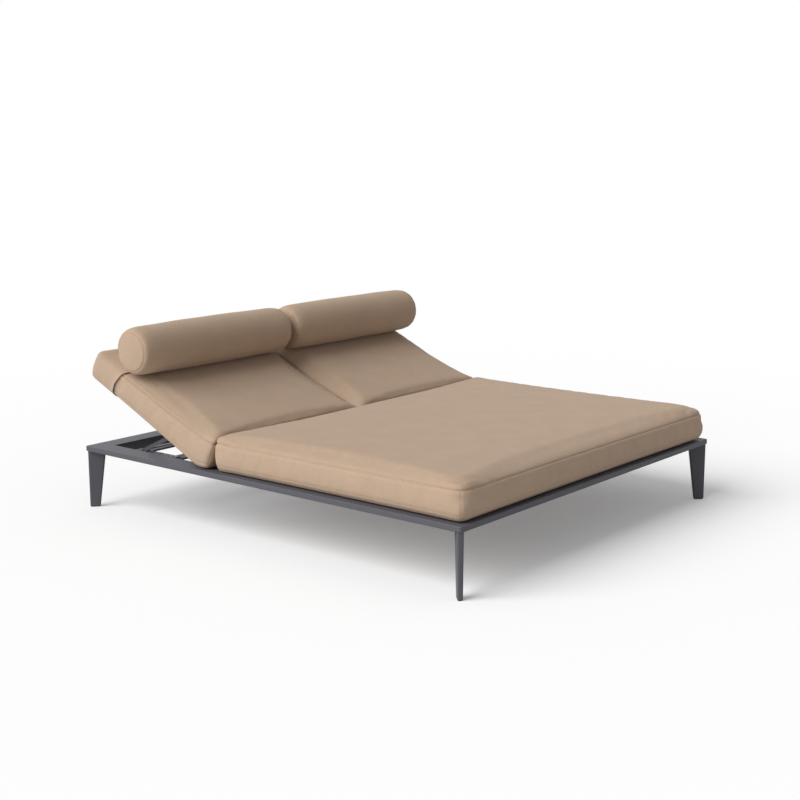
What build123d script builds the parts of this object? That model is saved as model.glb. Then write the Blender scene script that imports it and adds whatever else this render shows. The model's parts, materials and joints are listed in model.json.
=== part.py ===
from build123d import *
import math
import os

# Double chaise lounger: a low metal frame on four blade legs, a full-width
# seat cushion, and two backrests that tilt on their own hinges and stand on
# prop stays. Each backrest carries a cushion and a hooded bolster.
# Units are millimetres. X runs across, Y from the foot end to the head end,
# Z up from the floor. "Left" is the -X side.

# Frame rails
frame_length = 2030
frame_width = 1800
frame_height = 270
rail_width = 90
rail_thickness = 22
rail_wall = 2.5
rail_edge_radius = 4
rail_lip_radius = 1.5
frame_corner_radius = 12
web_width = 16
web_drop = 26
key_width = 44
key_arm = 130
key_clearance = 0.2

# Legs and glides
leg_inset = 12
leg_top_width = 76
leg_foot_width = 44
leg_top_thickness = 24
leg_foot_thickness = 20
leg_edge_radius = 6
leg_flare_reach = 15
leg_flare_height = 22
glide_height = 4
glide_inset = 1.5
glide_pin_radius = 3
glide_pin_length = 14
glide_pin_clearance = 0.05

# Slats, ledges and beams of the base
slat_width = 62
slat_wall = 2
slat_edge_radius = 2
seat_slat_height = 20
seat_slat_count = 6
slat_end_gap = 72
slat_hinge_gap = 91
head_slat_height = 9
head_slat_count = 2
head_slat_pitch = 213
ledge_width = 20
ledge_thickness = 5
ledge_end_gap = 30
beam_width = 40
beam_height = 18.5
beam_wall = 2

# Hinge line
hinge_inset = 665
rest_angle = 25.5
max_angle = 45
hinge_rail_width = 50
hinge_rail_height = 23
hinge_rail_wall = 2.5
bracket_plate = 3
bracket_length = 46
bracket_gap = 1
bracket_ear_radius = 9.5
bracket_ear_foot = 14
pin_radius = 5
pin_clearance = 0.05
pin_head_radius = 8
pin_head_height = 2.5
pin_tail = 3
bush_wall = 2

# Backrest frames
tube = 20
tube_wall = 1.5
tube_edge_radius = 1.5
knuckle_length = 16
rest_gap = 0.5
side_gap = 14
middle_gap = 14
stile_end_gap = 123
foot_tube_start = 30
deck_slat_width = 52
deck_slat_thickness = 4
deck_slat_count = 6
deck_start = 24
deck_end_gap = 37

# Prop stays
prop_length = 240
prop_bar_height = 16
prop_bar_thickness = 5
prop_rod_radius = 5
prop_pin_radius = 4
prop_spacer = 2
prop_spacer_radius = 8
rack_width = 30
rack_inset = 4
rack_clearance = 0.3
rack_groove_radius = 5.5
rack_groove_depth = 3.2
rack_overlap = 50
notch_angles = (15, rest_angle, 35, max_angle)

# Cushions
seat_front_inset = 7
cushion_side_inset = 15
cushion_thickness = 145
seat_crown = 12
back_thickness = 138
back_crown = 8
length_crown_extra = 2.5
end_edge_radius = 28
back_length = 688
cushion_joint_gap = 10
top_edge_radius = 23
bottom_edge_radius = 14
end_low_radius = 18
plan_corner_radius = 33
plan_ease = 2
side_bulge = 4
side_draw_in = 7
nose_gap = 1
soft_gap = 0.6
hood_gap = 0.4
hood_wall = 3
hood_top_depth = 192
hood_bottom_depth = 143
bolster_radius = 95
bolster_inset_from_end = 183
bolster_gap = 0.3
bolster_edge_radius = 24
bolster_dome = 9
bolster_inset = 3

# Lengths used for every cut that runs past the piece
overrun = 10

# Worked out from the sizes above
half_width = frame_width / 2
half_length = frame_length / 2
inner_x = half_width - rail_width
inner_y = half_length - rail_width
rail_bottom = frame_height - rail_thickness
web_bottom = rail_bottom - web_drop
hinge_y = half_length - hinge_inset
hinge_z = frame_height - tube / 2
head_slat_top = frame_height - tube - rest_gap
head_slat_bottom = head_slat_top - head_slat_height
seat_slat_bottom = frame_height - seat_slat_height
hinge_rail_top = web_bottom + hinge_rail_height
deck_top = tube / 2 + deck_slat_thickness
seat_slat_start = -inner_y + slat_end_gap
seat_slat_run = hinge_y - hinge_rail_width / 2 - slat_hinge_gap - slat_width - seat_slat_start
slat_pitch = seat_slat_run / (seat_slat_count - 1)
stile_length = back_length - stile_end_gap
deck_end = stile_length - deck_end_gap
hood_top_edge = back_length - hood_top_depth
hood_bottom_edge = back_length - hood_bottom_depth
bolster_place = back_length - bolster_inset_from_end
stile_outer_x = inner_x - side_gap
stile_inner_x = middle_gap
back_top = deck_top + back_thickness
back_crest = back_top + back_crown + length_crown_extra
seat_rear_y = hinge_y - math.sqrt(back_top ** 2 - (back_top / 2) ** 2) - nose_gap
nose_reach = hinge_y - seat_rear_y - nose_gap
heel_rise = frame_height + soft_gap - hinge_z
hinge_axis = Axis((0, hinge_y, hinge_z), (1, 0, 0))
sides = (("left", -1), ("right", 1))


def block(x0, x1, y0, y1, z0, z1):
    """A box between two corners."""
    size = Box(x1 - x0, y1 - y0, z1 - z0)
    return Pos((x0 + x1) / 2, (y0 + y1) / 2, (z0 + z1) / 2) * size


def rounded_block(x0, x1, y0, y1, z0, z1, radius, axis):
    """A box whose edges along one axis are rounded."""
    solid = block(x0, x1, y0, y1, z0, z1)
    return fillet(solid.edges().filter_by(axis), radius)


def tube_along(axis, x0, x1, y0, y1, z0, z1, wall, radius):
    """A hollow box section, open at both ends."""
    outer = rounded_block(x0, x1, y0, y1, z0, z1, radius, axis)
    if axis is Axis.X:
        bore = block(x0 - overrun, x1 + overrun, y0 + wall, y1 - wall, z0 + wall, z1 - wall)
    else:
        bore = block(x0 + wall, x1 - wall, y0 - overrun, y1 + overrun, z0 + wall, z1 - wall)
    return outer - bore


def bar_x(y, z, radius, x0, x1):
    """A round bar along X."""
    return Pos((x0 + x1) / 2, y, z) * Rot(0, 90, 0) * Cylinder(radius, x1 - x0)


def side_prism(face, x0, x1):
    """A face drawn with Y across and Z up, made solid between two X places."""
    solid = extrude(Plane.YZ * face, x1 - x0, dir=(1, 0, 0))
    return Pos(x0, 0, 0) * solid


def mirrored(solid, side):
    """The same piece on the left (-1) or the right (1)."""
    if side > 0:
        return solid
    return mirror(solid, about=Plane.YZ)


def raised(solid):
    """A backrest piece, drawn flat, turned up to the rest angle."""
    return solid.rotate(hinge_axis, rest_angle)


def save(name, *solids):
    """Write one named sub-part."""
    whole = solids[0] if len(solids) == 1 else Compound(list(solids))
    export_step(whole, f"parts/{name}.step")


# Base frame


def rounded_plate(inset, radius, z0, z1):
    """The frame's outline as a plate, inset from its edge."""
    outline = RectangleRounded(frame_width - 2 * inset, frame_length - 2 * inset, radius)
    return Pos(0, 0, z0) * extrude(outline, z1 - z0)


def rail_ring():
    """The four rails in one: a hollow plate with a downstand web inside."""
    plate = rounded_plate(0, frame_corner_radius, rail_bottom, frame_height)
    outer_edges = plate.edges().group_by(Axis.Z)
    plate = fillet(outer_edges[-1] + outer_edges[0], rail_edge_radius)
    web_outer_x = inner_x + web_width
    web_outer_y = inner_y + web_width
    web = block(-web_outer_x, web_outer_x, -web_outer_y, web_outer_y, web_bottom, rail_bottom)
    opening = block(-inner_x, inner_x, -inner_y, inner_y, web_bottom - overrun, frame_height + overrun)
    ring = plate + web - opening
    hollow = rounded_plate(rail_wall, frame_corner_radius - rail_wall, rail_bottom + rail_wall,
                           frame_height - rail_wall)
    hollow += block(-web_outer_x + rail_wall, web_outer_x - rail_wall,
                    -web_outer_y + rail_wall, web_outer_y - rail_wall,
                    web_bottom + rail_wall, frame_height - rail_wall)
    hollow -= block(-inner_x - rail_wall, inner_x + rail_wall, -inner_y - rail_wall,
                    inner_y + rail_wall, web_bottom, frame_height)
    ring -= hollow
    lip = [edge for edge in ring.edges().group_by(Axis.Z)[-1]
           if abs(edge.center().X) < web_outer_x and abs(edge.center().Y) < web_outer_y]
    return fillet(lip, rail_lip_radius)


def mitre_wedge(along_y, sign):
    """The ground that one rail covers between its two mitres."""
    step = half_length - half_width
    wide = half_width + overrun
    long = half_length + overrun
    if along_y:
        points = [(-sign * step, 0), (sign * wide, long), (sign * wide, -long)]
    else:
        points = [(0, sign * step), (wide, sign * long), (-wide, sign * long)]
    return extrude(make_face(Polyline(*points, close=True)), frame_height + overrun)


def corner_places():
    """Each corner's name, with its signs across and along."""
    return (("head_left", -1, 1), ("head_right", 1, 1),
            ("foot_left", -1, -1), ("foot_right", 1, -1))


def corner_key(sx, sy):
    """The L-shaped key inside one mitred corner."""
    middle = (rail_wall + rail_width) / 2
    low = rail_bottom + rail_wall
    high = frame_height - rail_wall - key_clearance
    x = half_width - middle
    y = half_length - middle
    half = key_width / 2
    key = block(x - key_arm, x + half, y - half, y + half, low, high)
    key += block(x - half, x + half, y - key_arm, y + half, low, high)
    if sx < 0:
        key = mirror(key, about=Plane.YZ)
    if sy < 0:
        key = mirror(key, about=Plane.XZ)
    return key


def leg_blade():
    """One leg on its diagonal: X is the way in from the corner."""
    outer = leg_inset
    top_inner = outer + leg_top_width
    foot_inner = outer + leg_foot_width
    flare_start = rail_bottom - leg_flare_height
    drop = rail_bottom - glide_height
    lean = (leg_top_width - leg_foot_width) / drop
    flare_inner = top_inner - lean * leg_flare_height
    edge = Line((outer, glide_height), (foot_inner, glide_height))
    inner = Line(edge @ 1, (flare_inner, flare_start))
    flare = Bezier(inner @ 1, (top_inner, rail_bottom), (top_inner + leg_flare_reach, rail_bottom))
    top = Line(flare @ 1, (outer, rail_bottom))
    back = Line(top @ 1, edge @ 0)
    profile = make_face([edge, inner, flare, top, back])
    blade = extrude(Plane.XZ * profile, leg_top_thickness, both=True)
    half_top = leg_top_thickness / 2
    half_foot = leg_foot_thickness / 2
    taper = make_face(Polyline((-half_foot, glide_height), (half_foot, glide_height),
                               (half_top, rail_bottom), (-half_top, rail_bottom), close=True))
    blade &= extrude(Plane.YZ * taper, leg_top_width + leg_foot_width + leg_flare_reach)
    long_edges = [edge for edge in blade.edges()
                  if edge.bounding_box().size.Z > leg_flare_height / 2]
    return fillet(long_edges, leg_edge_radius)


def place_at_corner(solid, sx, sy):
    """Turn a piece drawn from a corner inwards to its own corner."""
    turn = math.degrees(math.atan2(-sy, -sx))
    return Pos(sx * half_width, sy * half_length, 0) * Rot(0, 0, turn) * solid


def leg_pin_x():
    """How far in from the corner the glide's pin stands."""
    return leg_inset + leg_foot_width / 2


def leg(sx, sy):
    """One leg with the blind hole for its glide."""
    hole = Cylinder(glide_pin_radius + glide_pin_clearance, glide_pin_length + overrun)
    lift = glide_height + (glide_pin_length + overrun) / 2
    blade = leg_blade() - Pos(leg_pin_x(), 0, lift - overrun + glide_pin_clearance) * hole
    return place_at_corner(blade, sx, sy)


def glide(sx, sy):
    """The pad under one leg, with the pin that holds it."""
    pad = SlotOverall(leg_foot_width - 2 * glide_inset, leg_foot_thickness - 2 * glide_inset)
    body = Pos(leg_pin_x(), 0, 0) * extrude(pad, glide_height)
    pin = Cylinder(glide_pin_radius, glide_pin_length - glide_pin_radius)
    lift = glide_height + (glide_pin_length - glide_pin_radius) / 2
    body += Pos(leg_pin_x(), 0, lift) * pin
    return place_at_corner(body, sx, sy)


def seat_slat(index):
    """A hollow cross slat under the seat cushion, flush with the rails."""
    y0 = seat_slat_start + index * slat_pitch
    return tube_along(Axis.X, -inner_x, inner_x, y0, y0 + slat_width,
                      seat_slat_bottom, frame_height, slat_wall, slat_edge_radius)


def head_slat_start(index):
    """The foot-side edge of a slat under the backrests."""
    return inner_y - slat_end_gap - slat_width - index * head_slat_pitch


def head_slat(index):
    """A flat cross slat that the backrests lie on when they are down."""
    y0 = head_slat_start(index)
    return rounded_block(-inner_x, inner_x, y0, y0 + slat_width,
                         head_slat_bottom, head_slat_top, slat_edge_radius, Axis.X)


def slat_ledges():
    """The bars along the side rails that carry the slats' ends."""
    seat_end = hinge_y - hinge_rail_width / 2 - ledge_end_gap
    head_start = hinge_y + hinge_rail_width / 2 + ledge_end_gap
    ledges = []
    for side in (-1, 1):
        seat = block(inner_x - ledge_width, inner_x, -inner_y, seat_end,
                     seat_slat_bottom - ledge_thickness, seat_slat_bottom)
        head = block(inner_x - ledge_width, inner_x, head_start, inner_y,
                     head_slat_bottom - ledge_thickness, head_slat_bottom)
        ledges += [mirrored(seat, side), mirrored(head, side)]
    return ledges


def seat_beam():
    """The middle beam under the seat slats."""
    return tube_along(Axis.Y, -beam_width / 2, beam_width / 2, -inner_y,
                      hinge_y - hinge_rail_width / 2, seat_slat_bottom - beam_height,
                      seat_slat_bottom, beam_wall, tube_edge_radius)


def head_beam():
    """The middle beam under the head slats."""
    return tube_along(Axis.Y, -beam_width / 2, beam_width / 2,
                      hinge_y + hinge_rail_width / 2, inner_y,
                      head_slat_bottom - beam_height, head_slat_bottom, beam_wall, tube_edge_radius)


def hinge_rail():
    """The cross rail that carries the hinge brackets."""
    return tube_along(Axis.X, -inner_x, inner_x, hinge_y - hinge_rail_width / 2,
                      hinge_y + hinge_rail_width / 2, web_bottom, hinge_rail_top,
                      hinge_rail_wall, tube_edge_radius)


# Hinges


def stile_span(outer):
    """The X places of a stile's two sides."""
    if outer:
        return stile_outer_x - tube, stile_outer_x
    return stile_inner_x, stile_inner_x + tube


def hinge_bracket(outer):
    """A U bracket whose two ears stand beside the end of a stile."""
    x0, x1 = stile_span(outer)
    x0 -= bracket_gap
    x1 += bracket_gap
    base = block(x0 - bracket_plate, x1 + bracket_plate, hinge_y - bracket_length / 2,
                 hinge_y + bracket_length / 2, hinge_rail_top, hinge_rail_top + bracket_plate)
    foot = hinge_rail_top
    outline = Pos(hinge_y, hinge_z) * Circle(bracket_ear_radius)
    ear_foot = make_face(Polyline((hinge_y - bracket_ear_foot, foot), (hinge_y + bracket_ear_foot, foot),
                                  (hinge_y + bracket_ear_radius, hinge_z),
                                  (hinge_y - bracket_ear_radius, hinge_z), close=True))
    ears = side_prism(outline + ear_foot, x0 - bracket_plate, x1 + bracket_plate)
    ears -= block(x0, x1, hinge_y - bracket_length, hinge_y + bracket_length,
                  foot + bracket_plate, frame_height + overrun)
    hole = bar_x(hinge_y, hinge_z, pin_radius + pin_clearance,
                 x0 - bracket_plate - overrun, x1 + bracket_plate + overrun)
    return base + ears - hole


def hinge_pin(outer):
    """A headed pin through the ears and the stile's bush."""
    x0, x1 = stile_span(outer)
    reach = bracket_gap + bracket_plate
    low = x0 - reach
    high = x1 + reach
    if outer:
        pin = bar_x(hinge_y, hinge_z, pin_radius, low - pin_tail, high)
        head = bar_x(hinge_y, hinge_z, pin_head_radius, high, high + pin_head_height)
    else:
        pin = bar_x(hinge_y, hinge_z, pin_radius, low, high + pin_tail)
        head = bar_x(hinge_y, hinge_z, pin_head_radius, low - pin_head_height, low)
    return pin + head


def hinge_bush(outer):
    """The plain bush pressed into a stile's knuckle."""
    x0, x1 = stile_span(outer)
    ring = bar_x(hinge_y, hinge_z, pin_radius + bush_wall, x0, x1)
    return ring - bar_x(hinge_y, hinge_z, pin_radius + pin_clearance, x0 - overrun, x1 + overrun)


# Backrest frames, drawn flat


def stile(outer):
    """A long backrest tube with a solid round knuckle at the hinge."""
    x0, x1 = stile_span(outer)
    z0 = hinge_z - tube / 2
    z1 = hinge_z + tube / 2
    body = rounded_block(x0, x1, hinge_y, hinge_y + stile_length, z0, z1, tube_edge_radius, Axis.Y)
    body += bar_x(hinge_y, hinge_z, tube / 2, x0, x1)
    body -= block(x0 + tube_wall, x1 - tube_wall, hinge_y + knuckle_length,
                  hinge_y + stile_length - tube_wall, z0 + tube_wall, z1 - tube_wall)
    body -= bar_x(hinge_y, hinge_z, pin_radius + bush_wall, x0 - overrun, x1 + overrun)
    body -= bar_x(hinge_y + prop_length, hinge_z, prop_pin_radius, x0 - overrun, x1 + overrun)
    return body


def cross_tube(start):
    """A tube across a backrest, between its stiles."""
    y0 = hinge_y + start
    return tube_along(Axis.X, stile_inner_x + tube, stile_outer_x - tube, y0, y0 + tube,
                      hinge_z - tube / 2, hinge_z + tube / 2, tube_wall, tube_edge_radius)


def deck_slats():
    """The thin slats on top of a backrest frame."""
    pitch = (deck_end - deck_start - deck_slat_width) / (deck_slat_count - 1)
    z0 = hinge_z + tube / 2
    slats = []
    for index in range(deck_slat_count):
        y0 = hinge_y + deck_start + index * pitch
        slats.append(rounded_block(stile_inner_x, stile_outer_x, y0, y0 + deck_slat_width,
                                   z0, z0 + deck_slat_thickness, tube_edge_radius, Axis.X))
    return slats


def prop_pin(outer):
    """A headed pin that joins one prop bar to its stile."""
    x0, x1 = stile_span(outer)
    reach = prop_spacer + prop_bar_thickness + pin_tail
    y = hinge_y + prop_length
    if outer:
        pin = bar_x(y, hinge_z, prop_pin_radius, x0 - reach, x1)
        head = bar_x(y, hinge_z, prop_spacer_radius, x1, x1 + pin_head_height)
    else:
        pin = bar_x(y, hinge_z, prop_pin_radius, x0, x1 + reach)
        head = bar_x(y, hinge_z, prop_spacer_radius, x0 - pin_head_height, x0)
    return pin + head


def spacer(outer):
    """The washer between a stile and a prop bar."""
    x0, x1 = stile_span(outer)
    y = hinge_y + prop_length
    low, high = (x0 - prop_spacer, x0) if outer else (x1, x1 + prop_spacer)
    ring = bar_x(y, hinge_z, prop_spacer_radius, low, high)
    return ring - bar_x(y, hinge_z, prop_pin_radius, low - overrun, high + overrun)


# Prop stays


def prop_bar_span(outer):
    """The X places of a prop bar's two faces."""
    x0, x1 = stile_span(outer)
    if outer:
        return x0 - prop_spacer - prop_bar_thickness, x0 - prop_spacer
    return x1 + prop_spacer, x1 + prop_spacer + prop_bar_thickness


def prop_foot_y(angle):
    """Where the prop's foot stands when the backrest is at an angle."""
    return hinge_y + 2 * prop_length * math.cos(math.radians(angle))


def dropped(solid):
    """A prop piece, drawn flat, turned down to meet the raised backrest."""
    foot_axis = Axis((0, prop_foot_y(0), hinge_z), (1, 0, 0))
    turned = solid.rotate(foot_axis, -rest_angle)
    return Pos(0, prop_foot_y(rest_angle) - prop_foot_y(0), 0) * turned


def prop_bar(outer):
    """A flat bar with a round eye at the backrest and at the foot rod."""
    x0, x1 = prop_bar_span(outer)
    y0 = hinge_y + prop_length
    y1 = prop_foot_y(0)
    shape = Pos((y0 + y1) / 2, hinge_z) * SlotCenterToCenter(prop_length, prop_bar_height)
    bar = side_prism(shape, x0, x1)
    bar -= bar_x(y0, hinge_z, prop_pin_radius + pin_clearance, x0 - overrun, x1 + overrun)
    return bar - bar_x(y1, hinge_z, prop_rod_radius, x0 - overrun, x1 + overrun)


def prop_rod():
    """The round rod that stands in the racks."""
    return bar_x(prop_foot_y(0), hinge_z, prop_rod_radius, prop_bar_span(False)[0],
                 prop_bar_span(True)[1])


def rack(outer):
    """A grooved strip on the head slats, one groove for each position."""
    x0, x1 = prop_bar_span(outer)
    low = x0 - rack_inset - rack_width if outer else x1 + rack_inset
    top = hinge_z - prop_rod_radius - rack_clearance
    y0 = head_slat_start(head_slat_count - 1) + slat_width - rack_overlap
    y1 = head_slat_start(0) + rack_overlap
    strip = block(low, low + rack_width, y0, y1, head_slat_top, top)
    for angle in notch_angles:
        groove_z = top - rack_groove_depth + rack_groove_radius
        strip -= bar_x(prop_foot_y(angle), groove_z, rack_groove_radius,
                       low - overrun, low + rack_width + overrun)
    return strip


# Cushions


def bulged_section(across0, across1, low, high, crown, low_radius):
    """A cushion's upright section: crowned top, sides that bulge a little."""
    left = across0 + side_bulge
    right = across1 - side_bulge
    middle = (across0 + across1) / 2
    half_up = (low + high) / 2
    bottom = Line((left, low), (right, low))
    right_side = ThreePointArc((right, low), (across1, half_up), (right, high))
    top = ThreePointArc((right, high), (middle, high + crown), (left, high))
    left_side = ThreePointArc((left, high), (across0, half_up), (left, low))
    face = make_face([bottom, right_side, top, left_side])
    upper = face.vertices().group_by(Axis.Y)[-1]
    face = fillet(upper, top_edge_radius)
    lower = face.vertices().group_by(Axis.Y)[0]
    return fillet(lower, low_radius)


def drawn_in_plan(x0, x1, y0, y1, straight):
    """A cushion's outline from above, its sides drawn in between corners.
    A straight stretch can be kept at the far end of both sides."""
    bend = y1 - straight
    middle_x = (x0 + x1) / 2
    middle_y = (y0 + bend) / 2
    lines = [ThreePointArc((x0, y0), (middle_x, y0 + side_draw_in), (x1, y0)),
             ThreePointArc((x1, y0), (x1 - side_draw_in, middle_y), (x1, bend)),
             ThreePointArc((x1, y1), (middle_x, y1 - side_draw_in), (x0, y1)),
             ThreePointArc((x0, bend), (x0 + side_draw_in, middle_y), (x0, y0))]
    if straight:
        lines.append(Line((x1, bend), (x1, y1)))
        lines.append(Line((x0, y1), (x0, bend)))
    rows = make_face(lines).vertices().group_by(Axis.Y)
    return fillet(rows[0] + rows[-1], plan_corner_radius)


def three_way(plan, front, side, x_span, y_span, z_span, grow):
    """A soft form: what its plan, its front view and its side view share."""
    if grow:
        plan = offset(plan, grow)
        front = offset(front, grow)
        side = offset(side, grow)
    height = z_span[1] - z_span[0]
    form = Pos(0, 0, z_span[0]) * extrude(plan, height, dir=(0, 0, 1))
    depth = y_span[1] - y_span[0]
    form &= Pos(0, y_span[0], 0) * extrude(Plane.XZ * front, depth, dir=(0, 1, 0))
    form &= side_prism(side, x_span[0], x_span[1])
    return form


def seat_cushion():
    """The full-width seat cushion."""
    x = half_width - cushion_side_inset
    y0 = -half_length + seat_front_inset
    high = frame_height + cushion_thickness
    plan = drawn_in_plan(-x, x, y0, seat_rear_y, 0)
    front = bulged_section(-x, x, frame_height, high, seat_crown, bottom_edge_radius)
    side = bulged_section(y0, seat_rear_y, frame_height, high, seat_crown + length_crown_extra,
                          end_low_radius)
    return three_way(plan, front, side, (-half_width, half_width), (-half_length, half_length),
                     (frame_height, high + seat_crown + overrun), 0)


def nose_corner():
    """The low corner of a back cushion's foot end, from the hinge, drawn
    flat. At the steepest angle it stands level, just over the frame."""
    turn = math.radians(max_angle)
    return (-nose_reach * math.cos(turn) + heel_rise * math.sin(turn),
            nose_reach * math.sin(turn) + heel_rise * math.cos(turn))


def back_side_view():
    """A back cushion from the side, drawn flat: its foot end is rounded
    about the hinge, so that it clears the seat cushion at every angle."""
    turn = math.radians(max_angle)
    low = deck_top
    face_angle = math.pi - math.acos(nose_reach / back_crest) - turn
    nose_top = (back_crest * math.cos(face_angle), back_crest * math.sin(face_angle))
    nose_low = nose_corner()
    heel = ((low / math.cos(turn) - heel_rise) / math.tan(turn), heel_rise)
    heel_s = -heel[0] * math.cos(turn) + heel[1] * math.sin(turn)
    half_angle = (face_angle + math.pi / 2) / 2
    nose_middle = (back_crest * math.cos(half_angle), back_crest * math.sin(half_angle))
    face = make_face([Line((heel_s, low), (back_length, low)),
                      Line((back_length, low), (back_length, back_crest)),
                      Line((back_length, back_crest), (0, back_crest)),
                      ThreePointArc((0, back_crest), nose_middle, nose_top),
                      Line(nose_top, nose_low),
                      Line(nose_low, (heel_s, low))])
    for corner, radius in (((back_length, back_crest), end_edge_radius),
                           ((back_length, low), end_low_radius),
                           (nose_low, end_low_radius)):
        face = fillet(face.vertices().sort_by_distance(corner)[0], radius)
    return Pos(hinge_y, hinge_z) * face


def back_form(grow):
    """A right back cushion, drawn flat, grown by a wall or a gap. The plan
    is a little wider than the front view, so no two sides just touch."""
    x0 = cushion_joint_gap / 2
    x1 = half_width - cushion_side_inset
    y0 = hinge_y + nose_corner()[0]
    y1 = hinge_y + back_length
    straight = back_length - hood_top_edge + hood_wall
    low = hinge_z + deck_top
    high = hinge_z + back_top
    plan = drawn_in_plan(x0 - plan_ease, x1 + plan_ease, y0, y1, straight)
    front = bulged_section(x0, x1, low, high, back_crown, bottom_edge_radius)
    return three_way(plan, front, back_side_view(), (-overrun, half_width),
                     (y0 - overrun, y1 + overrun), (low - overrun, high + back_crown + overrun),
                     grow)


def hood():
    """The fabric sleeve over a back cushion's top end, drawn flat."""
    shell = back_form(hood_gap + hood_wall) - back_form(hood_gap)
    low = hinge_z
    high = hinge_z + back_top + back_crown + overrun
    far = hinge_y + back_length + hood_wall + overrun
    keep = make_face(Polyline((hinge_y + hood_bottom_edge, low), (far, low), (far, high),
                              (hinge_y + hood_top_edge, high), close=True))
    return shell & side_prism(keep, -overrun, half_width)


def bolster():
    """A round bolster with domed ends, drawn flat."""
    x0 = cushion_joint_gap / 2 - bolster_inset / 2
    x1 = half_width - cushion_side_inset + bolster_inset
    low = x0 + bolster_dome
    high = x1 - bolster_dome
    r = bolster_radius
    outline = make_face([Line((low, r), (high, r)),
                         ThreePointArc((high, r), (x1, 0), (high, -r)),
                         Line((high, -r), (low, -r)),
                         ThreePointArc((low, -r), (x0, 0), (low, r))])
    outline = fillet(outline.vertices(), bolster_edge_radius)
    half = outline & Pos((x0 + x1) / 2, r / 2) * Rectangle(x1 - x0, r)
    lift = back_top + back_crown + hood_gap + hood_wall + bolster_gap + r
    body = revolve(half, Axis.X)
    return Pos(0, hinge_y + bolster_place, hinge_z + lift) * body


# Build

os.makedirs("parts", exist_ok=True)

ring = rail_ring()
save("side_rail_left", ring & mitre_wedge(True, -1))
save("side_rail_right", ring & mitre_wedge(True, 1))
save("head_rail", ring & mitre_wedge(False, 1))
save("foot_rail", ring & mitre_wedge(False, -1))
save("corner_keys", *[corner_key(sx, sy) for name, sx, sy in corner_places()])
for name, sx, sy in corner_places():
    save(f"leg_{name}", leg(sx, sy))
save("leg_glides", *[glide(sx, sy) for name, sx, sy in corner_places()])

for index in range(seat_slat_count):
    save(f"seat_slat_{index + 1}", seat_slat(index))
for index in range(head_slat_count):
    save(f"head_slat_{index + 1}", head_slat(index))
save("slat_ledges", *slat_ledges())
save("seat_beam", seat_beam())
save("head_beam", head_beam())
save("hinge_rail", hinge_rail())
save("seat_cushion", seat_cushion())

back = back_form(0)
cover = hood()
roll = bolster()
for name, side in sides:
    for place, outer in (("outer", True), ("inner", False)):
        save(f"hinge_bracket_{name}_{place}", mirrored(hinge_bracket(outer), side))
        save(f"rack_{name}_{place}", mirrored(rack(outer), side))
        save(f"back_stile_{name}_{place}", mirrored(raised(stile(outer)), side))
    both = (True, False)
    save(f"hinge_pins_{name}", *[mirrored(hinge_pin(outer), side) for outer in both])
    save(f"hinge_bushes_{name}", *[mirrored(hinge_bush(outer), side) for outer in both])
    save(f"back_foot_tube_{name}", mirrored(raised(cross_tube(foot_tube_start)), side))
    save(f"back_top_tube_{name}", mirrored(raised(cross_tube(stile_length - tube)), side))
    save(f"deck_slats_{name}", *[mirrored(raised(slat), side) for slat in deck_slats()])
    save(f"prop_pins_{name}", *[mirrored(raised(prop_pin(outer)), side) for outer in both])
    save(f"prop_spacers_{name}", *[mirrored(raised(spacer(outer)), side) for outer in both])
    save(f"prop_bars_{name}", *[mirrored(dropped(prop_bar(outer)), side) for outer in both])
    save(f"prop_rod_{name}", mirrored(dropped(prop_rod()), side))
    save(f"back_cushion_{name}", mirrored(raised(back), side))
    save(f"bolster_hood_{name}", mirrored(raised(cover), side))
    save(f"bolster_{name}", mirrored(raised(roll), side))
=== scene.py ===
import json
import math

import bmesh
import bpy
import numpy as np
from bpy.props import (
    FloatProperty, FloatVectorProperty, PointerProperty, StringProperty,
)
from mathutils import Matrix, Vector
from mathutils.bvhtree import BVHTree


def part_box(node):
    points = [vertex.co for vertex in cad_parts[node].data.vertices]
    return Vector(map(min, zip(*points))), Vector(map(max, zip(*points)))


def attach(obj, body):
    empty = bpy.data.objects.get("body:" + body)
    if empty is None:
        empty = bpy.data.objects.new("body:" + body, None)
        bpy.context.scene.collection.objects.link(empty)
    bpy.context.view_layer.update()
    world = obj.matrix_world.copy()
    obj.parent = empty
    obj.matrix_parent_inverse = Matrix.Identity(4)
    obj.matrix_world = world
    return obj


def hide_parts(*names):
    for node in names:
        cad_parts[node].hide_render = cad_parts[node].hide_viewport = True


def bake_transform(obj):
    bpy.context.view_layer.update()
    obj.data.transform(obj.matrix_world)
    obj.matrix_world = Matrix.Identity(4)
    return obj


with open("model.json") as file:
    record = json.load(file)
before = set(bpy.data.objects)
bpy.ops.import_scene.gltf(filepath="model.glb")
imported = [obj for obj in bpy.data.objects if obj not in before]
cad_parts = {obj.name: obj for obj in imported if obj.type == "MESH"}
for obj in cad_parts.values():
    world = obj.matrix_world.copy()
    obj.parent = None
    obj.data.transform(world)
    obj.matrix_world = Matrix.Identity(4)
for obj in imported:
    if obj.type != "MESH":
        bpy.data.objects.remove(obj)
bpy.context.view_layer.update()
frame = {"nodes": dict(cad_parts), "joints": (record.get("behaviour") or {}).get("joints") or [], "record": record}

bl_info = {
    "name": "Double Chaise Lounger",
    "version": (1, 0, 0),
    "blender": (4, 5, 0),
    "location": "3D View > Sidebar > Lounger",
    "description": "Dresses the packed lounger: cushions, hooded bolsters, seams, finishes, studio",
    "category": "Object",
}

SIDES = (("left", -1), ("right", 1))

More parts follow.
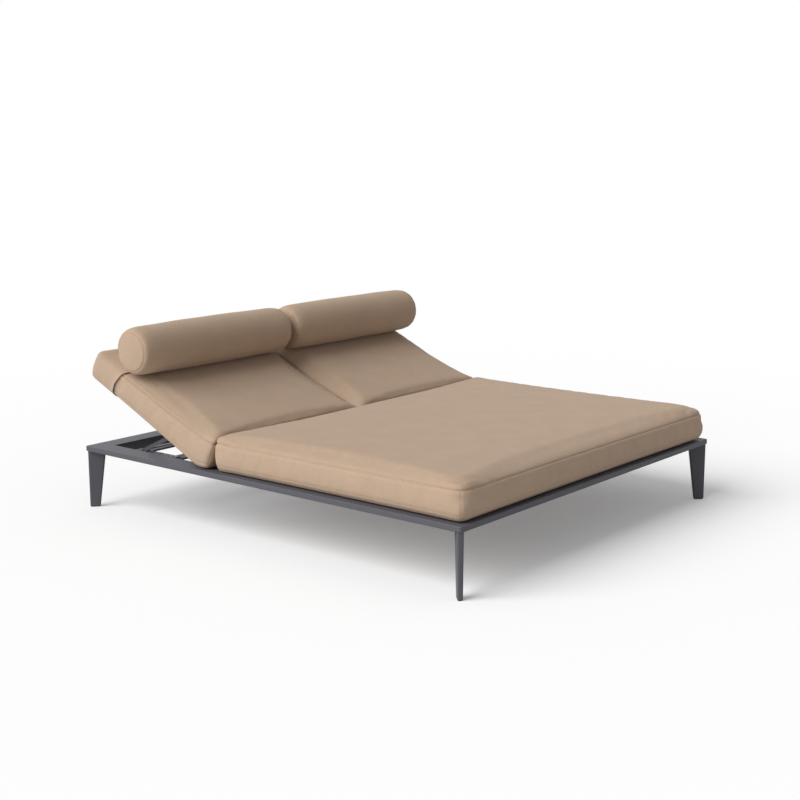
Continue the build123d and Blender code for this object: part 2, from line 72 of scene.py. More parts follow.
# Where the hinge line and the frame stand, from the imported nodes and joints
SEAT_LOW, SEAT_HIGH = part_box("seat_cushion")
RAIL_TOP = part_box("side_rail_left")[1].z
HINGE = next(j for j in frame["joints"] if j["name"] == "backrest_left_tilt")
HINGE_Y, HINGE_Z = HINGE["pos_m"][1], HINGE["pos_m"][2]
REST_ANGLE = -math.radians(HINGE["range_deg"][0])
SLOPE_COS, SLOPE_SIN = math.cos(REST_ANGLE), math.sin(REST_ANGLE)
# The least height of a cover over the rails
RAIL_CLEARANCE = 0.0005


# Small helpers


def linear(hex_code):
    """An sRGB hex colour as linear RGBA."""
    channels = []
    for k in (1, 3, 5):
        c = int(hex_code[k:k + 2], 16) / 255
        channels.append(c / 12.92 if c <= 0.04045 else ((c + 0.055) / 1.055) ** 2.4)
    return (*channels, 1.0)


def add_node(tree, kind, settings=None, inputs=None):
    """Add one node with its settings, and set or link its inputs."""
    node = tree.nodes.new(kind)
    for name, value in (settings or {}).items():
        setattr(node, name, value)
    set_inputs(tree, node, inputs or {})
    return node


def set_inputs(tree, node, inputs):
    """Link each input to the socket given for it, or set it to the value given."""
    for key, value in inputs.items():
        if isinstance(value, bpy.types.NodeSocket):
            tree.links.new(value, node.inputs[key])
        else:
            node.inputs[key].default_value = value


def linked(name, data):
    """A new object in the scene, with this mesh, lamp or camera in it."""
    obj = bpy.data.objects.new(name, data)
    bpy.context.scene.collection.objects.link(obj)
    return obj


def point_vectors(mesh, name, values):
    """Store a place or a direction for each point of a mesh."""
    layer = mesh.attributes.new(name, "FLOAT_VECTOR", "POINT")
    layer.data.foreach_set("vector", np.array(values, np.float32).ravel())


def set_once(obj, material):
    """Give an object one material."""
    obj.data.materials.clear()
    obj.data.materials.append(material)


def from_slope(s, h):
    """The (y, z) of a point on a raised backrest, from its run up the slope and its height over it."""
    return (HINGE_Y + s * SLOPE_COS - h * SLOPE_SIN, HINGE_Z + s * SLOPE_SIN + h * SLOPE_COS)


def to_slope(y, z):
    """The run up the slope and the height over it of a point at (y, z)."""
    y, z = y - HINGE_Y, z - HINGE_Z
    return y * SLOPE_COS + z * SLOPE_SIN, -y * SLOPE_SIN + z * SLOPE_COS


def off_slope(points, lift):
    """Move points straight off the slope."""
    points[:, 1] -= lift * SLOPE_SIN
    points[:, 2] += lift * SLOPE_COS
    return points


# Grids and forms


# The close grid lines beside a welt seam, and those beside a corner seam
SEAM_LIP, CORNER_LIP = 0.0035, 0.005
# The share of a cushion's height over which its underside's form turns into its top's
MIDDLE_BAND = 0.2
# How square a crown and a bulge stay: a higher power is flatter, with a quicker fall at the ends
CROWN_POWER, BULGE_POWER = 4, 6
# A ripple's random knots, and the one that stands at zero
RIPPLE_KNOTS, RIPPLE_ZERO = 4096, 2000
# A seam's half width, and how far beside it the cover puffs up, and over what width
SEAM_WIDTH, PUFF_AWAY, PUFF_WIDTH = 0.0032, 0.012, 0.008
# How far a stitch line lies over the cloth
THREAD_LIFT = 0.0002

# The cover in its simulation: light, firm cloth that the filling pushes out from inside
SIM_FRAMES = 20
SIM_CLOTH = {
    "quality": 6, "mass": 0.35, "tension_stiffness": 25, "compression_stiffness": 25,
    "shear_stiffness": 8, "bending_stiffness": 1.2, "air_damping": 6, "use_pressure": True,
    "uniform_pressure_force": 4.0, "shrink_min": -0.006, "vertex_group_mass": "seams",
}


def grid_lines(low, high, step, seams=(), lip=SEAM_LIP):
    """Places along one side of a cushion, evenly spread, with close lines at each seam."""
    marks = {round(low, 6), round(high, 6)}
    for s in seams:
        marks.update(round(s + d, 6) for d in (-lip, 0.0, lip) if low <= round(s + d, 6) <= high)
    marks = sorted(marks)
    lines = [low]
    for a, b in zip(marks, marks[1:]):
        n = max(1, round((b - a) / step))
        lines += [a + (b - a) * k / n for k in range(1, n + 1)]
    return lines


def box_grid(xs, ys, zs, open_front=False):
    """The skin of a box as quads on given grid lines: its points, its quads and
    each quad corner's place on the flat cloth. An open front has no quads at the low Y side."""
    index, points, quads, cloth = {}, [], [], []
    nx, ny, nz = len(xs) - 1, len(ys) - 1, len(zs) - 1

    def at(i, j, k):
        if (i, j, k) not in index:
            index[(i, j, k)] = len(points)
            points.append((xs[i], ys[j], zs[k]))
        return index[(i, j, k)]

    def quad(corners, places, flip):
        if flip:
            corners, places = corners[::-1], places[::-1]
        quads.append([at(*c) for c in corners])
        cloth.extend(places)

    for k, flip in ((0, True), (nz, False)):
        for i in range(nx):
            for j in range(ny):
                c = [(i, j, k), (i + 1, j, k), (i + 1, j + 1, k), (i, j + 1, k)]
                quad(c, [(xs[a], ys[b]) for a, b, _ in c], flip)
    for j, flip in ((0, False), (ny, True)):
        if j == 0 and open_front:
            continue
        for i in range(nx):
            for k in range(nz):
                c = [(i, j, k), (i + 1, j, k), (i + 1, j, k + 1), (i, j, k + 1)]
                quad(c, [(xs[a], zs[b]) for a, _, b in c], flip)
    for i, flip in ((0, True), (nx, False)):
        for j in range(ny):
            for k in range(nz):
                c = [(i, j, k), (i, j + 1, k), (i, j + 1, k + 1), (i, j, k + 1)]
                quad(c, [(ys[a], zs[b]) for _, a, b in c], flip)
    return np.array(points), quads, cloth


def mesh_object(name, points, quads, cloth, places):
    """A mesh object with a cloth UV map, and each point's place on its uncut box."""
    mesh = bpy.data.meshes.new(name)
    mesh.from_pydata([tuple(p) for p in points], [], quads)
    uv = mesh.uv_layers.new(name="cloth")
    uv.data.foreach_set("uv", np.array(cloth, np.float32).ravel())
    point_vectors(mesh, "box_place", places)
    mesh.polygons.foreach_set("use_smooth", [True] * len(mesh.polygons))
    mesh.update()
    return linked(name, mesh)


def coords(obj):
    """An object's points as an array."""
    out = np.zeros(len(obj.data.vertices) * 3, np.float64)
    obj.data.vertices.foreach_get("co", out)
    return out.reshape(-1, 3)


def set_coords(obj, points):
    """Write an object's points."""
    obj.data.vertices.foreach_set("co", np.asarray(points, np.float32).ravel())
    obj.data.update()


def normals(obj):
    """An object's outward direction at each point."""
    out = np.zeros(len(obj.data.vertices) * 3, np.float32)
    obj.data.vertex_normals.foreach_get("vector", out)
    return out.reshape(-1, 3).astype(np.float64)


def box_places(obj):
    """Each point's place on the uncut box."""
    out = np.zeros(len(obj.data.vertices) * 3, np.float32)
    obj.data.attributes["box_place"].data.foreach_get("vector", out)
    return out.reshape(-1, 3).astype(np.float64)


def surface_tree(obj):
    """A search tree over an object's faces."""
    return BVHTree.FromPolygons([tuple(p) for p in coords(obj)],
                                [tuple(f.vertices) for f in obj.data.polygons])


def rounded(points, low, high, radii, far_radii=None):
    """Points of a box, moved onto the same box with rounded edges. Far radii, if
    given, hold on its high sides."""
    low, high, radii = np.array(low), np.array(high), np.array(radii)
    far = radii if far_radii is None else np.array(far_radii)
    inner = np.clip(points, low + radii, high - far)
    scale = np.where(points > inner, far, radii)
    d = (points - inner) / scale
    length = np.linalg.norm(d, axis=1, keepdims=True)
    d = np.where(length > 1e-9, d / np.maximum(length, 1e-9), d)
    return inner + d * scale


def mixed(points, others, share):
    """Points moved softly to the others by a share from 0 to 1."""
    share = np.clip(share, 0, 1)[:, None]
    return points + (others - points) * share * share * (3 - 2 * share)


def topped(points, low, high, under, top):
    """A cushion with its underside's form below and its top's above, mixed at the middle."""
    height = (points[:, 2] - low[2]) / (high[2] - low[2])
    return mixed(under, top, (height - 0.5) / MIDDLE_BAND + 0.5)


def stuffed(points, low, high, crown, bulge, pull):
    """Crown the top of a rounded box, bulge its sides and pull them in between the corners."""
    low, high = np.array(low), np.array(high)
    middle, half = (low + high) / 2, (high - low) / 2
    u = (points - middle) / half
    out = points.copy()
    edge_x, edge_y = np.abs(u[:, 0]) ** BULGE_POWER, np.abs(u[:, 1]) ** BULGE_POWER
    upright = 1 - u[:, 2] ** 2
    out[:, 0] += np.sign(u[:, 0]) * edge_x * (bulge * upright - pull * (1 - u[:, 1] ** 2))
    out[:, 1] += np.sign(u[:, 1]) * edge_y * (bulge * upright - pull * (1 - u[:, 0] ** 2))
    rise = (1 - np.abs(u[:, 0]) ** CROWN_POWER) * (1 - np.abs(u[:, 1]) ** CROWN_POWER)
    out[:, 2] += crown * rise * np.clip((u[:, 2] + 1) / 2, 0, 1)
    return out


def ripple(t, pitch, seed):
    """A smooth random line from -1 to 1, with one knot at each pitch."""
    rng = np.random.default_rng(seed)
    knots = rng.uniform(-1, 1, RIPPLE_KNOTS)
    x = np.asarray(t) / pitch + RIPPLE_ZERO
    k = np.floor(x).astype(int) % (RIPPLE_KNOTS - 1)
    f = x - np.floor(x)
    f = f * f * (3 - 2 * f)
    return knots[k] * (1 - f) + knots[k + 1] * f


def unevenness(points, size, seed):
    """A soft random height over a surface, from -1 to 1, for foam that isn't perfectly flat."""
    a = ripple(points[:, 0] + 0.31 * points[:, 1], size, seed)
    b = ripple(points[:, 1] - 0.23 * points[:, 0], size, seed + 1)
    c = ripple(0.7 * (points[:, 0] + points[:, 1]), size * 0.73, seed + 2)
    return (a + b + c) / 3


def simulate(obj, pins, cap):
    """Let the cover swell against its seams as cloth, with no point moved past the cap."""
    start = coords(obj)
    group = obj.vertex_groups.new(name="seams")
    for index in np.nonzero(pins > 0)[0]:
        group.add([int(index)], float(pins[index]), "REPLACE")
    cloth = obj.modifiers.new("Cloth", "CLOTH")
    for name, value in SIM_CLOTH.items():
        setattr(cloth.settings, name, value)
    cloth.settings.effector_weights.gravity = 0
    cloth.point_cache.frame_start = 1
    cloth.point_cache.frame_end = SIM_FRAMES
    scene = bpy.context.scene
    for number in range(1, SIM_FRAMES + 1):
        scene.frame_set(number)
    evaluated = obj.evaluated_get(bpy.context.evaluated_depsgraph_get())
    end = np.zeros(len(start) * 3, np.float64)
    evaluated.data.vertices.foreach_get("co", end)
    move = end.reshape(-1, 3) - start
    length = np.linalg.norm(move, axis=1, keepdims=True)
    move *= np.minimum(1, cap / np.maximum(length, 1e-9))
    obj.modifiers.remove(cloth)
    obj.vertex_groups.remove(group)
    scene.frame_set(1)
    set_coords(obj, start + move)


def subdivided(obj):
    """Subdivide an object once, over its other modifiers, and keep the result as its mesh."""
    modifier = obj.modifiers.new("Subdivision", "SUBSURF")
    modifier.levels = modifier.render_levels = 1
    evaluated = obj.evaluated_get(bpy.context.evaluated_depsgraph_get())
    mesh = bpy.data.meshes.new_from_object(evaluated)
    obj.modifiers.clear()
    old = obj.data
    obj.data = mesh
    bpy.data.meshes.remove(old)


def seam_dent(distance, depth, puff=0.0008):
    """How far the cover sinks at a seam, and puffs beside it."""
    return (-depth * np.exp(-(distance / SEAM_WIDTH) ** 2)
            + puff * np.exp(-((distance - PUFF_AWAY) / PUFF_WIDTH) ** 2))


def round_the_sides(place, low, high):
    """How far round the four sides of the box each point lies, and whether it lies on them."""
    width, depth = high[0] - low[0], high[1] - low[1]
    x, y = place[:, 0] - low[0], place[:, 1] - low[1]
    t = np.zeros(len(place))
    front, right = np.isclose(y, 0, atol=1e-6), np.isclose(x, width, atol=1e-6)
    back, left = np.isclose(y, depth, atol=1e-6), np.isclose(x, 0, atol=1e-6)
    t[left] = (2 * width + depth + (depth - y))[left]
    t[back] = (width + depth + (width - x))[back]
    t[right] = (width + y)[right]
    t[front] = x[front]
    return t, front | right | back | left


def path_object(name, loops):
    """Closed stitch lines as edges, each point with the cover's outward direction."""
    points, outs, edges = [], [], []
    for line, out in loops:
        base, count = len(points), len(line)
        points += [tuple(p) for p in line]
        outs += [tuple(n) for n in out]
        edges += [(base + k, base + (k + 1) % count) for k in range(count)]
    mesh = bpy.data.meshes.new(name)
    mesh.from_pydata(points, edges, [])
    point_vectors(mesh, "face_out", outs)
    return linked(name, mesh)


def row_line(obj, low, high, height):
    """The row of points at one height of the uncut box, in order round its sides,
    with their outward directions."""
    place = box_places(obj)
    t, on_side = round_the_sides(place, low, high)
    order = np.nonzero(on_side & np.isclose(place[:, 2], height, atol=2e-4))[0]
    order = order[np.argsort(t[order])]
    return coords(obj)[order], normals(obj)[order]


# Geometry Nodes for stitches and screws


def new_tree(name, sockets):
    """A Geometry Nodes tree with named inputs; returns it with its two end nodes."""
    tree = bpy.data.node_groups.new(name, "GeometryNodeTree")
    tree.interface.new_socket("Geometry", in_out="OUTPUT", socket_type="NodeSocketGeometry")
    tree.interface.new_socket("Geometry", in_out="INPUT", socket_type="NodeSocketGeometry")
    for label, kind, default in sockets:
        socket = tree.interface.new_socket(label, in_out="INPUT", socket_type=kind)
        if default is not None:
            socket.default_value = default
    return tree, add_node(tree, "NodeGroupInput"), add_node(tree, "NodeGroupOutput")


def facing(tree, along):
    """A rotation with X along the given direction and Z out of the cover or piece."""
    out = add_node(tree, "GeometryNodeInputNamedAttribute", {"data_type": "FLOAT_VECTOR"},
                   {"Name": "face_out"})
    return add_node(tree, "FunctionNodeAxesToRotation", {"primary_axis": "X", "secondary_axis": "Z"},
                    {"Primary Axis": along, "Secondary Axis": out.outputs["Attribute"]})


def stitch_tree():
    """Stitches at an even pitch along seam lines, each a short bowed thread."""
    tree, given, result = new_tree("Stitches", (
        ("Pitch", "NodeSocketFloat", 0.006), ("Stitch Length", "NodeSocketFloat", 0.0044),
        ("Thread Radius", "NodeSocketFloat", 0.0005), ("Thread", "NodeSocketMaterial", None)))
    length = given.outputs["Stitch Length"]
    line = add_node(tree, "GeometryNodeMeshToCurve", inputs={"Mesh": given.outputs["Geometry"]})
    spread = add_node(tree, "GeometryNodeResampleCurve", {"mode": "LENGTH"},
                      {"Curve": line.outputs["Curve"], "Length": given.outputs["Pitch"]})
    half = add_node(tree, "ShaderNodeMath", {"operation": "MULTIPLY"}, {0: length, 1: 0.5})
    less = add_node(tree, "ShaderNodeMath", {"operation": "MULTIPLY"}, {0: length, 1: -0.5})
    bow = add_node(tree, "ShaderNodeMath", {"operation": "MULTIPLY"},
                   {0: given.outputs["Thread Radius"], 1: 1.6})
    start = add_node(tree, "ShaderNodeCombineXYZ", inputs={"X": less.outputs[0]})
    middle = add_node(tree, "ShaderNodeCombineXYZ", inputs={"Z": bow.outputs[0]})
    end = add_node(tree, "ShaderNodeCombineXYZ", inputs={"X": half.outputs[0]})
    arc = add_node(tree, "GeometryNodeCurveQuadraticBezier",
                   inputs={"Resolution": 4, "Start": start.outputs[0],
                           "Middle": middle.outputs[0], "End": end.outputs[0]})
    ring = add_node(tree, "GeometryNodeCurvePrimitiveCircle",
                    inputs={"Resolution": 5, "Radius": given.outputs["Thread Radius"]})
    thread = add_node(tree, "GeometryNodeCurveToMesh",
                      inputs={"Curve": arc.outputs[0], "Profile Curve": ring.outputs[0],
                              "Fill Caps": True})
    tangent = add_node(tree, "GeometryNodeInputTangent")
    turn = facing(tree, tangent.outputs[0])
    placed = add_node(tree, "GeometryNodeInstanceOnPoints",
                      inputs={"Points": spread.outputs["Curve"], "Instance": thread.outputs[0],
                              "Rotation": turn.outputs[0]})
    real = add_node(tree, "GeometryNodeRealizeInstances", inputs={"Geometry": placed.outputs[0]})
    done = add_node(tree, "GeometryNodeSetMaterial",
                    inputs={"Geometry": real.outputs[0], "Material": given.outputs["Thread"]})
    tree.links.new(done.outputs[0], result.inputs[0])
    return tree


def screw_tree():
    """One screw head on every marked point, standing along the point's outward direction."""
    tree, given, result = new_tree("Screws", (
        ("Head", "NodeSocketObject", None), ("Size", "NodeSocketFloat", 1.0),
        ("Metal", "NodeSocketMaterial", None)))
    head = add_node(tree, "GeometryNodeObjectInfo", inputs={"Object": given.outputs["Head"]})
    along = add_node(tree, "GeometryNodeInputNamedAttribute", {"data_type": "FLOAT_VECTOR"},
                     {"Name": "slot_along"})
    turn = facing(tree, along.outputs["Attribute"])
    placed = add_node(tree, "GeometryNodeInstanceOnPoints",
                      inputs={"Points": given.outputs["Geometry"], "Instance": head.outputs["Geometry"],
                              "Rotation": turn.outputs[0], "Scale": given.outputs["Size"]})
    real = add_node(tree, "GeometryNodeRealizeInstances", inputs={"Geometry": placed.outputs[0]})
    done = add_node(tree, "GeometryNodeSetMaterial",
                    inputs={"Geometry": real.outputs[0], "Material": given.outputs["Metal"]})
    tree.links.new(done.outputs[0], result.inputs[0])
    return tree


def grown(source, tree, values, name):
    """Run a Geometry Nodes tree on an object and keep the result as a plain mesh object."""
    modifier = source.modifiers.new("Repeat", "NODES")
    modifier.node_group = tree
    for item in tree.interface.items_tree:
        if item.item_type == "SOCKET" and item.in_out == "INPUT" and item.name in values:
            modifier[item.identifier] = values[item.name]
    source.update_tag()
    evaluated = source.evaluated_get(bpy.context.evaluated_depsgraph_get())
    mesh = bpy.data.meshes.new_from_object(evaluated)
    mesh.name = name
    source.modifiers.remove(modifier)
    if not mesh.polygons:
        raise RuntimeError(f"{name} came out empty")
    mesh.polygons.foreach_set("use_smooth", [True] * len(mesh.polygons))
    obj = linked(name, mesh)
    bpy.data.objects.remove(source)
    return obj


def stitched(name, loops):
    """Thread stitches along the given closed lines."""
    look = bpy.context.scene.lounger_covers
    tree = bpy.data.node_groups.get("Stitches") or stitch_tree()
    return grown(path_object(name + "_path", loops), tree,
                 {"Pitch": look.stitch_pitch, "Stitch Length": look.stitch_length,
                  "Thread Radius": look.thread_radius, "Thread": bonded_thread()}, name)


# Materials


# The cloth's real thread is about 0.6 mm wide. It is drawn wider, so that it shows
WEAVE_THREAD = 0.0016


def new_material(name):
    """Start a material: itself, its node tree and its shader."""
    material = bpy.data.materials.new(name)
    material.use_nodes = True
    return material, material.node_tree, material.node_tree.nodes["Principled BSDF"]


def plain_weave(name, warp_hex, weft_hex):
    """Solution-dyed acrylic, plain woven: matt, with a faint grid of threads,
    two close tones that mix to one from afar, and a soft sheen at the edges."""
    found = bpy.data.materials.get(name)
    if found:
        return found
    material, tree, shader = new_material(name)
    cloth = add_node(tree, "ShaderNodeUVMap", {"uv_map": "cloth"})
    over = add_node(tree, "ShaderNodeTexChecker",
                    inputs={"Vector": cloth.outputs[0], "Scale": 1 / WEAVE_THREAD})
    split = add_node(tree, "ShaderNodeSeparateXYZ", inputs={0: cloth.outputs[0]})
    rounds = []
    for axis in (0, 1):
        turn = add_node(tree, "ShaderNodeMath", {"operation": "MULTIPLY"},
                        {0: split.outputs[axis], 1: math.pi / WEAVE_THREAD})
        wave = add_node(tree, "ShaderNodeMath", {"operation": "SINE"}, {0: turn.outputs[0]})
        rounds.append(add_node(tree, "ShaderNodeMath", {"operation": "ABSOLUTE"}, {0: wave.outputs[0]}))
    weave = add_node(tree, "ShaderNodeMix", {"data_type": "FLOAT"},
                     {0: over.outputs["Fac"], 2: rounds[0].outputs[0], 3: rounds[1].outputs[0]})
    # Dye and light wear vary over a hand's width, and slubs over a few threads
    broad = add_node(tree, "ShaderNodeTexNoise",
                     inputs={"Vector": cloth.outputs[0], "Scale": 9.0, "Detail": 3.0,
                             "Roughness": 0.55})
    slub_place = add_node(tree, "ShaderNodeMapping",
                          inputs={"Vector": cloth.outputs[0], "Scale": (60.0, 420.0, 1.0)})
    slub = add_node(tree, "ShaderNodeTexNoise",
                    inputs={"Vector": slub_place.outputs[0], "Scale": 1.0, "Detail": 2.0})
    two_tone = add_node(tree, "ShaderNodeMix", {"data_type": "RGBA"},
                        {0: over.outputs["Fac"], 6: linear(warp_hex), 7: linear(weft_hex)})
    shade, fleck = [
        add_node(tree, "ShaderNodeMapRange",
                 inputs={"Value": noise.outputs["Fac"], "From Min": 0.3, "From Max": 0.7,
                         "To Min": least, "To Max": most})
        for noise, least, most in ((broad, 0.965, 1.03), (slub, 0.95, 1.05))]
    both = add_node(tree, "ShaderNodeMath", {"operation": "MULTIPLY"},
                    {0: shade.outputs[0], 1: fleck.outputs[0]})
    tinted = add_node(tree, "ShaderNodeVectorMath", {"operation": "SCALE"},
                      {0: two_tone.outputs[2], "Scale": both.outputs[0]})
    raised = add_node(tree, "ShaderNodeBump",
                      inputs={"Strength": 0.22, "Distance": 0.0006, "Height": weave.outputs[0]})
    set_inputs(tree, shader, {
        "Base Color": tinted.outputs[0], "Normal": raised.outputs[0], "Roughness": 0.92,
        "Specular IOR Level": 0.25, "Sheen Weight": 0.12, "Sheen Roughness": 0.5})
    return material


def cover_cloth():
    """The cushions' cloth in the user's two thread colours."""
    look = bpy.context.scene.lounger_covers
    return plain_weave("Woven acrylic sand", look.warp_colour, look.weft_colour)


def bonded_thread():
    """Bonded polyester thread: smooth, a little glossier and deeper than the cloth."""
    name = "Bonded polyester thread"
    found = bpy.data.materials.get(name)
    if found:
        return found
    material, tree, shader = new_material(name)
    place = add_node(tree, "ShaderNodeTexCoord")
    # The thread's twist turns round in about 1 mm
    twist = add_node(tree, "ShaderNodeTexNoise",
                     inputs={"Vector": place.outputs["Object"], "Scale": 900.0})
    tone = add_node(tree, "ShaderNodeMix", {"data_type": "RGBA"},
                    {0: twist.outputs["Fac"], 6: linear("#9A8468"), 7: linear("#B49E80")})
    set_inputs(tree, shader, {"Base Color": tone.outputs[2], "Roughness": 0.6})
    return material


def powder_coat():
    """Polyester powder coat, baked on aluminium: satin, with the fine orange
    peel of a sprayed powder and a slight change of tone along each piece."""
    look = bpy.context.scene.lounger_finish
    material, tree, shader = new_material("Powder coat graphite")
    place = add_node(tree, "ShaderNodeTexCoord")
    # Orange peel is about 1.5 mm from crest to crest
    peel = add_node(tree, "ShaderNodeTexNoise",
                    inputs={"Vector": place.outputs["Object"], "Scale": 650.0, "Detail": 2.0,
                            "Roughness": 0.5})
    broad = add_node(tree, "ShaderNodeTexNoise",
                     inputs={"Vector": place.outputs["Object"], "Scale": 6.0, "Detail": 2.0})
    base = linear(look.coat_colour)
    darker = tuple(c * 0.93 for c in base[:3]) + (1.0,)
    tone = add_node(tree, "ShaderNodeMix", {"data_type": "RGBA"},
                    {0: broad.outputs["Fac"], 6: darker, 7: base})
    gloss = add_node(tree, "ShaderNodeMapRange",
                     inputs={"Value": peel.outputs["Fac"], "From Min": 0.3, "From Max": 0.7,
                             "To Min": look.coat_roughness - 0.04,
                             "To Max": look.coat_roughness + 0.05})
    bump = add_node(tree, "ShaderNodeBump",
                    inputs={"Strength": 0.35, "Distance": 0.0002, "Height": peel.outputs["Fac"]})
    set_inputs(tree, shader, {
        "Base Color": tone.outputs[2], "Roughness": gloss.outputs[0], "Normal": bump.outputs[0],
        "Specular IOR Level": 0.12})
    return material


def turned_steel():
    """Stainless steel, turned on a lathe: bright, with fine tool rings round X."""
    material, tree, shader = new_material("Stainless steel turned")
    place = add_node(tree, "ShaderNodeTexCoord")
    # Tool rings lie about 0.4 mm apart along the bar
    stretch = add_node(tree, "ShaderNodeMapping",
                       inputs={"Vector": place.outputs["Object"], "Scale": (2500.0, 60.0, 60.0)})
    rings = add_node(tree, "ShaderNodeTexNoise", inputs={"Vector": stretch.outputs[0], "Scale": 1.0})
    tone = add_node(tree, "ShaderNodeMix", {"data_type": "RGBA"},
                    {0: rings.outputs["Fac"], 6: linear("#A9A9AB"), 7: linear("#C4C4C6")})
    rough = add_node(tree, "ShaderNodeMapRange",
                     inputs={"Value": rings.outputs["Fac"], "To Min": 0.22, "To Max": 0.38})
    set_inputs(tree, shader, {
        "Base Color": tone.outputs[2], "Roughness": rough.outputs[0], "Metallic": 1.0})
    return material


def mill_aluminium():
    """Extruded aluminium, left as it comes from the die: dull grey with die lines."""
    material, tree, shader = new_material("Aluminium mill finish")
    place = add_node(tree, "ShaderNodeTexCoord")
    # Die lines lie about 0.5 mm apart
    lines = add_node(tree, "ShaderNodeMapping",
                     inputs={"Vector": place.outputs["Object"], "Scale": (40.0, 40.0, 1800.0)})
    grain = add_node(tree, "ShaderNodeTexNoise", inputs={"Vector": lines.outputs[0], "Scale": 1.0})
    tone = add_node(tree, "ShaderNodeMix", {"data_type": "RGBA"},
                    {0: grain.outputs["Fac"], 6: linear("#9A9B9D"), 7: linear("#B4B5B7")})
    set_inputs(tree, shader, {"Base Color": tone.outputs[2], "Roughness": 0.42, "Metallic": 1.0})
    return material


def moulded_nylon():
    """Black nylon, injection moulded: dull, with a fine spark-eroded texture."""
    material, tree, shader = new_material("Nylon moulded black")
    place = add_node(tree, "ShaderNodeTexCoord")
    # Spark texture grains are about 0.5 mm
    grain = add_node(tree, "ShaderNodeTexNoise",
                     inputs={"Vector": place.outputs["Object"], "Scale": 2000.0, "Detail": 1.0})
    tone = add_node(tree, "ShaderNodeMix", {"data_type": "RGBA"},
                    {0: grain.outputs["Fac"], 6: linear("#1B1B1D"), 7: linear("#2A2A2C")})
    bump = add_node(tree, "ShaderNodeBump",
                    inputs={"Strength": 0.3, "Distance": 0.0001, "Height": grain.outputs["Fac"]})
    set_inputs(tree, shader, {
        "Base Color": tone.outputs[2], "Normal": bump.outputs[0], "Roughness": 0.58, "IOR": 1.53})
    return material


# Sizes and colours that a user would change


class LoungerCovers(bpy.types.PropertyGroup):
    """Cushion covers"""
    warp_colour: StringProperty(
        name="Warp Colour", description="sRGB hex colour of the warp threads", default="#B59D87")
    weft_colour: StringProperty(
        name="Weft Colour", description="sRGB hex colour of the weft threads", default="#A78F79")
    seam_drop: FloatProperty(
        name="Seam Drop", description="How far a welt seam lies from a cushion's top or underside",
        default=0.027, unit="LENGTH", subtype="DISTANCE")
    seam_depth: FloatProperty(
        name="Seam Depth", description="How deep the cover sinks at a cushion's upper welt seam",
        default=0.0060, unit="LENGTH", subtype="DISTANCE")
    seat_crown: FloatProperty(
        name="Seat Crown", description="How far the seat's middle stands over its edges",
        default=0.012, unit="LENGTH", subtype="DISTANCE")
    back_crown: FloatProperty(
        name="Back Crown", description="How far a back cushion's middle stands over its edges",
        default=0.008, unit="LENGTH", subtype="DISTANCE")
    bolster_radius: FloatProperty(
        name="Bolster Radius", description="Radius of a filled bolster",
        default=0.1048, unit="LENGTH", subtype="DISTANCE")
    hood_cloth: FloatProperty(
        name="Hood Cloth", description="Thickness of the lined hood cloth",
        default=0.0022, unit="LENGTH", subtype="DISTANCE")
    stitch_pitch: FloatProperty(
        name="Stitch Pitch", description="Distance from one stitch to the next",
        default=0.006, unit="LENGTH", subtype="DISTANCE")
    stitch_length: FloatProperty(
        name="Stitch Length", description="Length of thread that shows in a stitch",
        default=0.0044, unit="LENGTH", subtype="DISTANCE")
    thread_radius: FloatProperty(
        name="Thread Radius", description="Radius of the sewing thread",
        default=0.0005, unit="LENGTH", subtype="DISTANCE")


class LoungerFinish(bpy.types.PropertyGroup):
    """Frame finish"""
    coat_colour: StringProperty(
        name="Coat Colour", description="sRGB hex colour of the powder coat", default="#58575D")
    coat_roughness: FloatProperty(
        name="Coat Roughness", description="Roughness of the powder coat",
        default=0.42, min=0.05, max=1.0)
    screw_size: FloatProperty(
        name="Screw Size", description="Scale of the screw heads", default=1.0, min=0.2, max=3.0)


class LoungerStudio(bpy.types.PropertyGroup):
    """Studio"""
    lens: FloatProperty(
        name="Lens", description="Focal length in mm on a 36 mm sensor", default=64.458)
    key_strength: FloatProperty(
        name="Key Strength", description="Strength of the soft key light", default=3.3)
    key_spread: FloatProperty(
        name="Key Spread", description="How wide the key light is, seen from the lounger",
        default=math.radians(50), subtype="ANGLE")
    key_direction: FloatVectorProperty(
        name="Key Direction", description="Where the key light comes from",
        default=(-0.722, 0.275, 0.636), subtype="DIRECTION")
    fill_strength: FloatProperty(
        name="Fill Strength", description="Strength of the even light from all round", default=0.34)
    floor_bounce: FloatProperty(
        name="Floor Bounce", description="Share of the floor's light that goes back up",
        default=0.78, min=0.0, max=1.0)
    floor_colour: StringProperty(
        name="Floor Colour", description="sRGB hex colour of the floor", default="#FCFCFC")


# Cushions


# Edge radii along X, Y and Z: round the seat's underside, its top, and its top at the rear
SEAT_RADII = (0.034, 0.034, 0.022)
SEAT_TOP_RADII = (0.058, 0.058, 0.029)
SEAT_REAR_RADII = (0.030, 0.012, 0.014)
SEAT_STEP = 0.0165
# The seat's uncut box lies this far inside its solid at the sides and at the foot end, and
# this far past it at the rear; its underside and its top lie this high over the rails
SEAT_SIDE_INSET, SEAT_FOOT_INSET, SEAT_REAR_PAST = 0.006, 0.007, 0.0025
SEAT_UNDER, SEAT_TOP = 0.0006, 0.1455
# The length of the seat's rear end over which its top turns into a tighter edge
SEAT_REAR_REACH = 0.10
# How far a side bulges out, and how far it is pulled in between the corners
SEAT_BULGE, BACK_BULGE, SIDE_PULL = 0.009, 0.006, 0.005
# How far the simulation may move a point of each cover
SEAT_CAP, BACK_CAP, BOLSTER_CAP = 0.007, 0.006, 0.004
# The foam's unevenness: its height and its pitch on the seat and on the back cushions
SEAT_UNEVEN, SEAT_UNEVEN_PITCH = 0.0018, 0.33
BACK_UNEVEN, BACK_UNEVEN_PITCH = 0.0016, 0.27
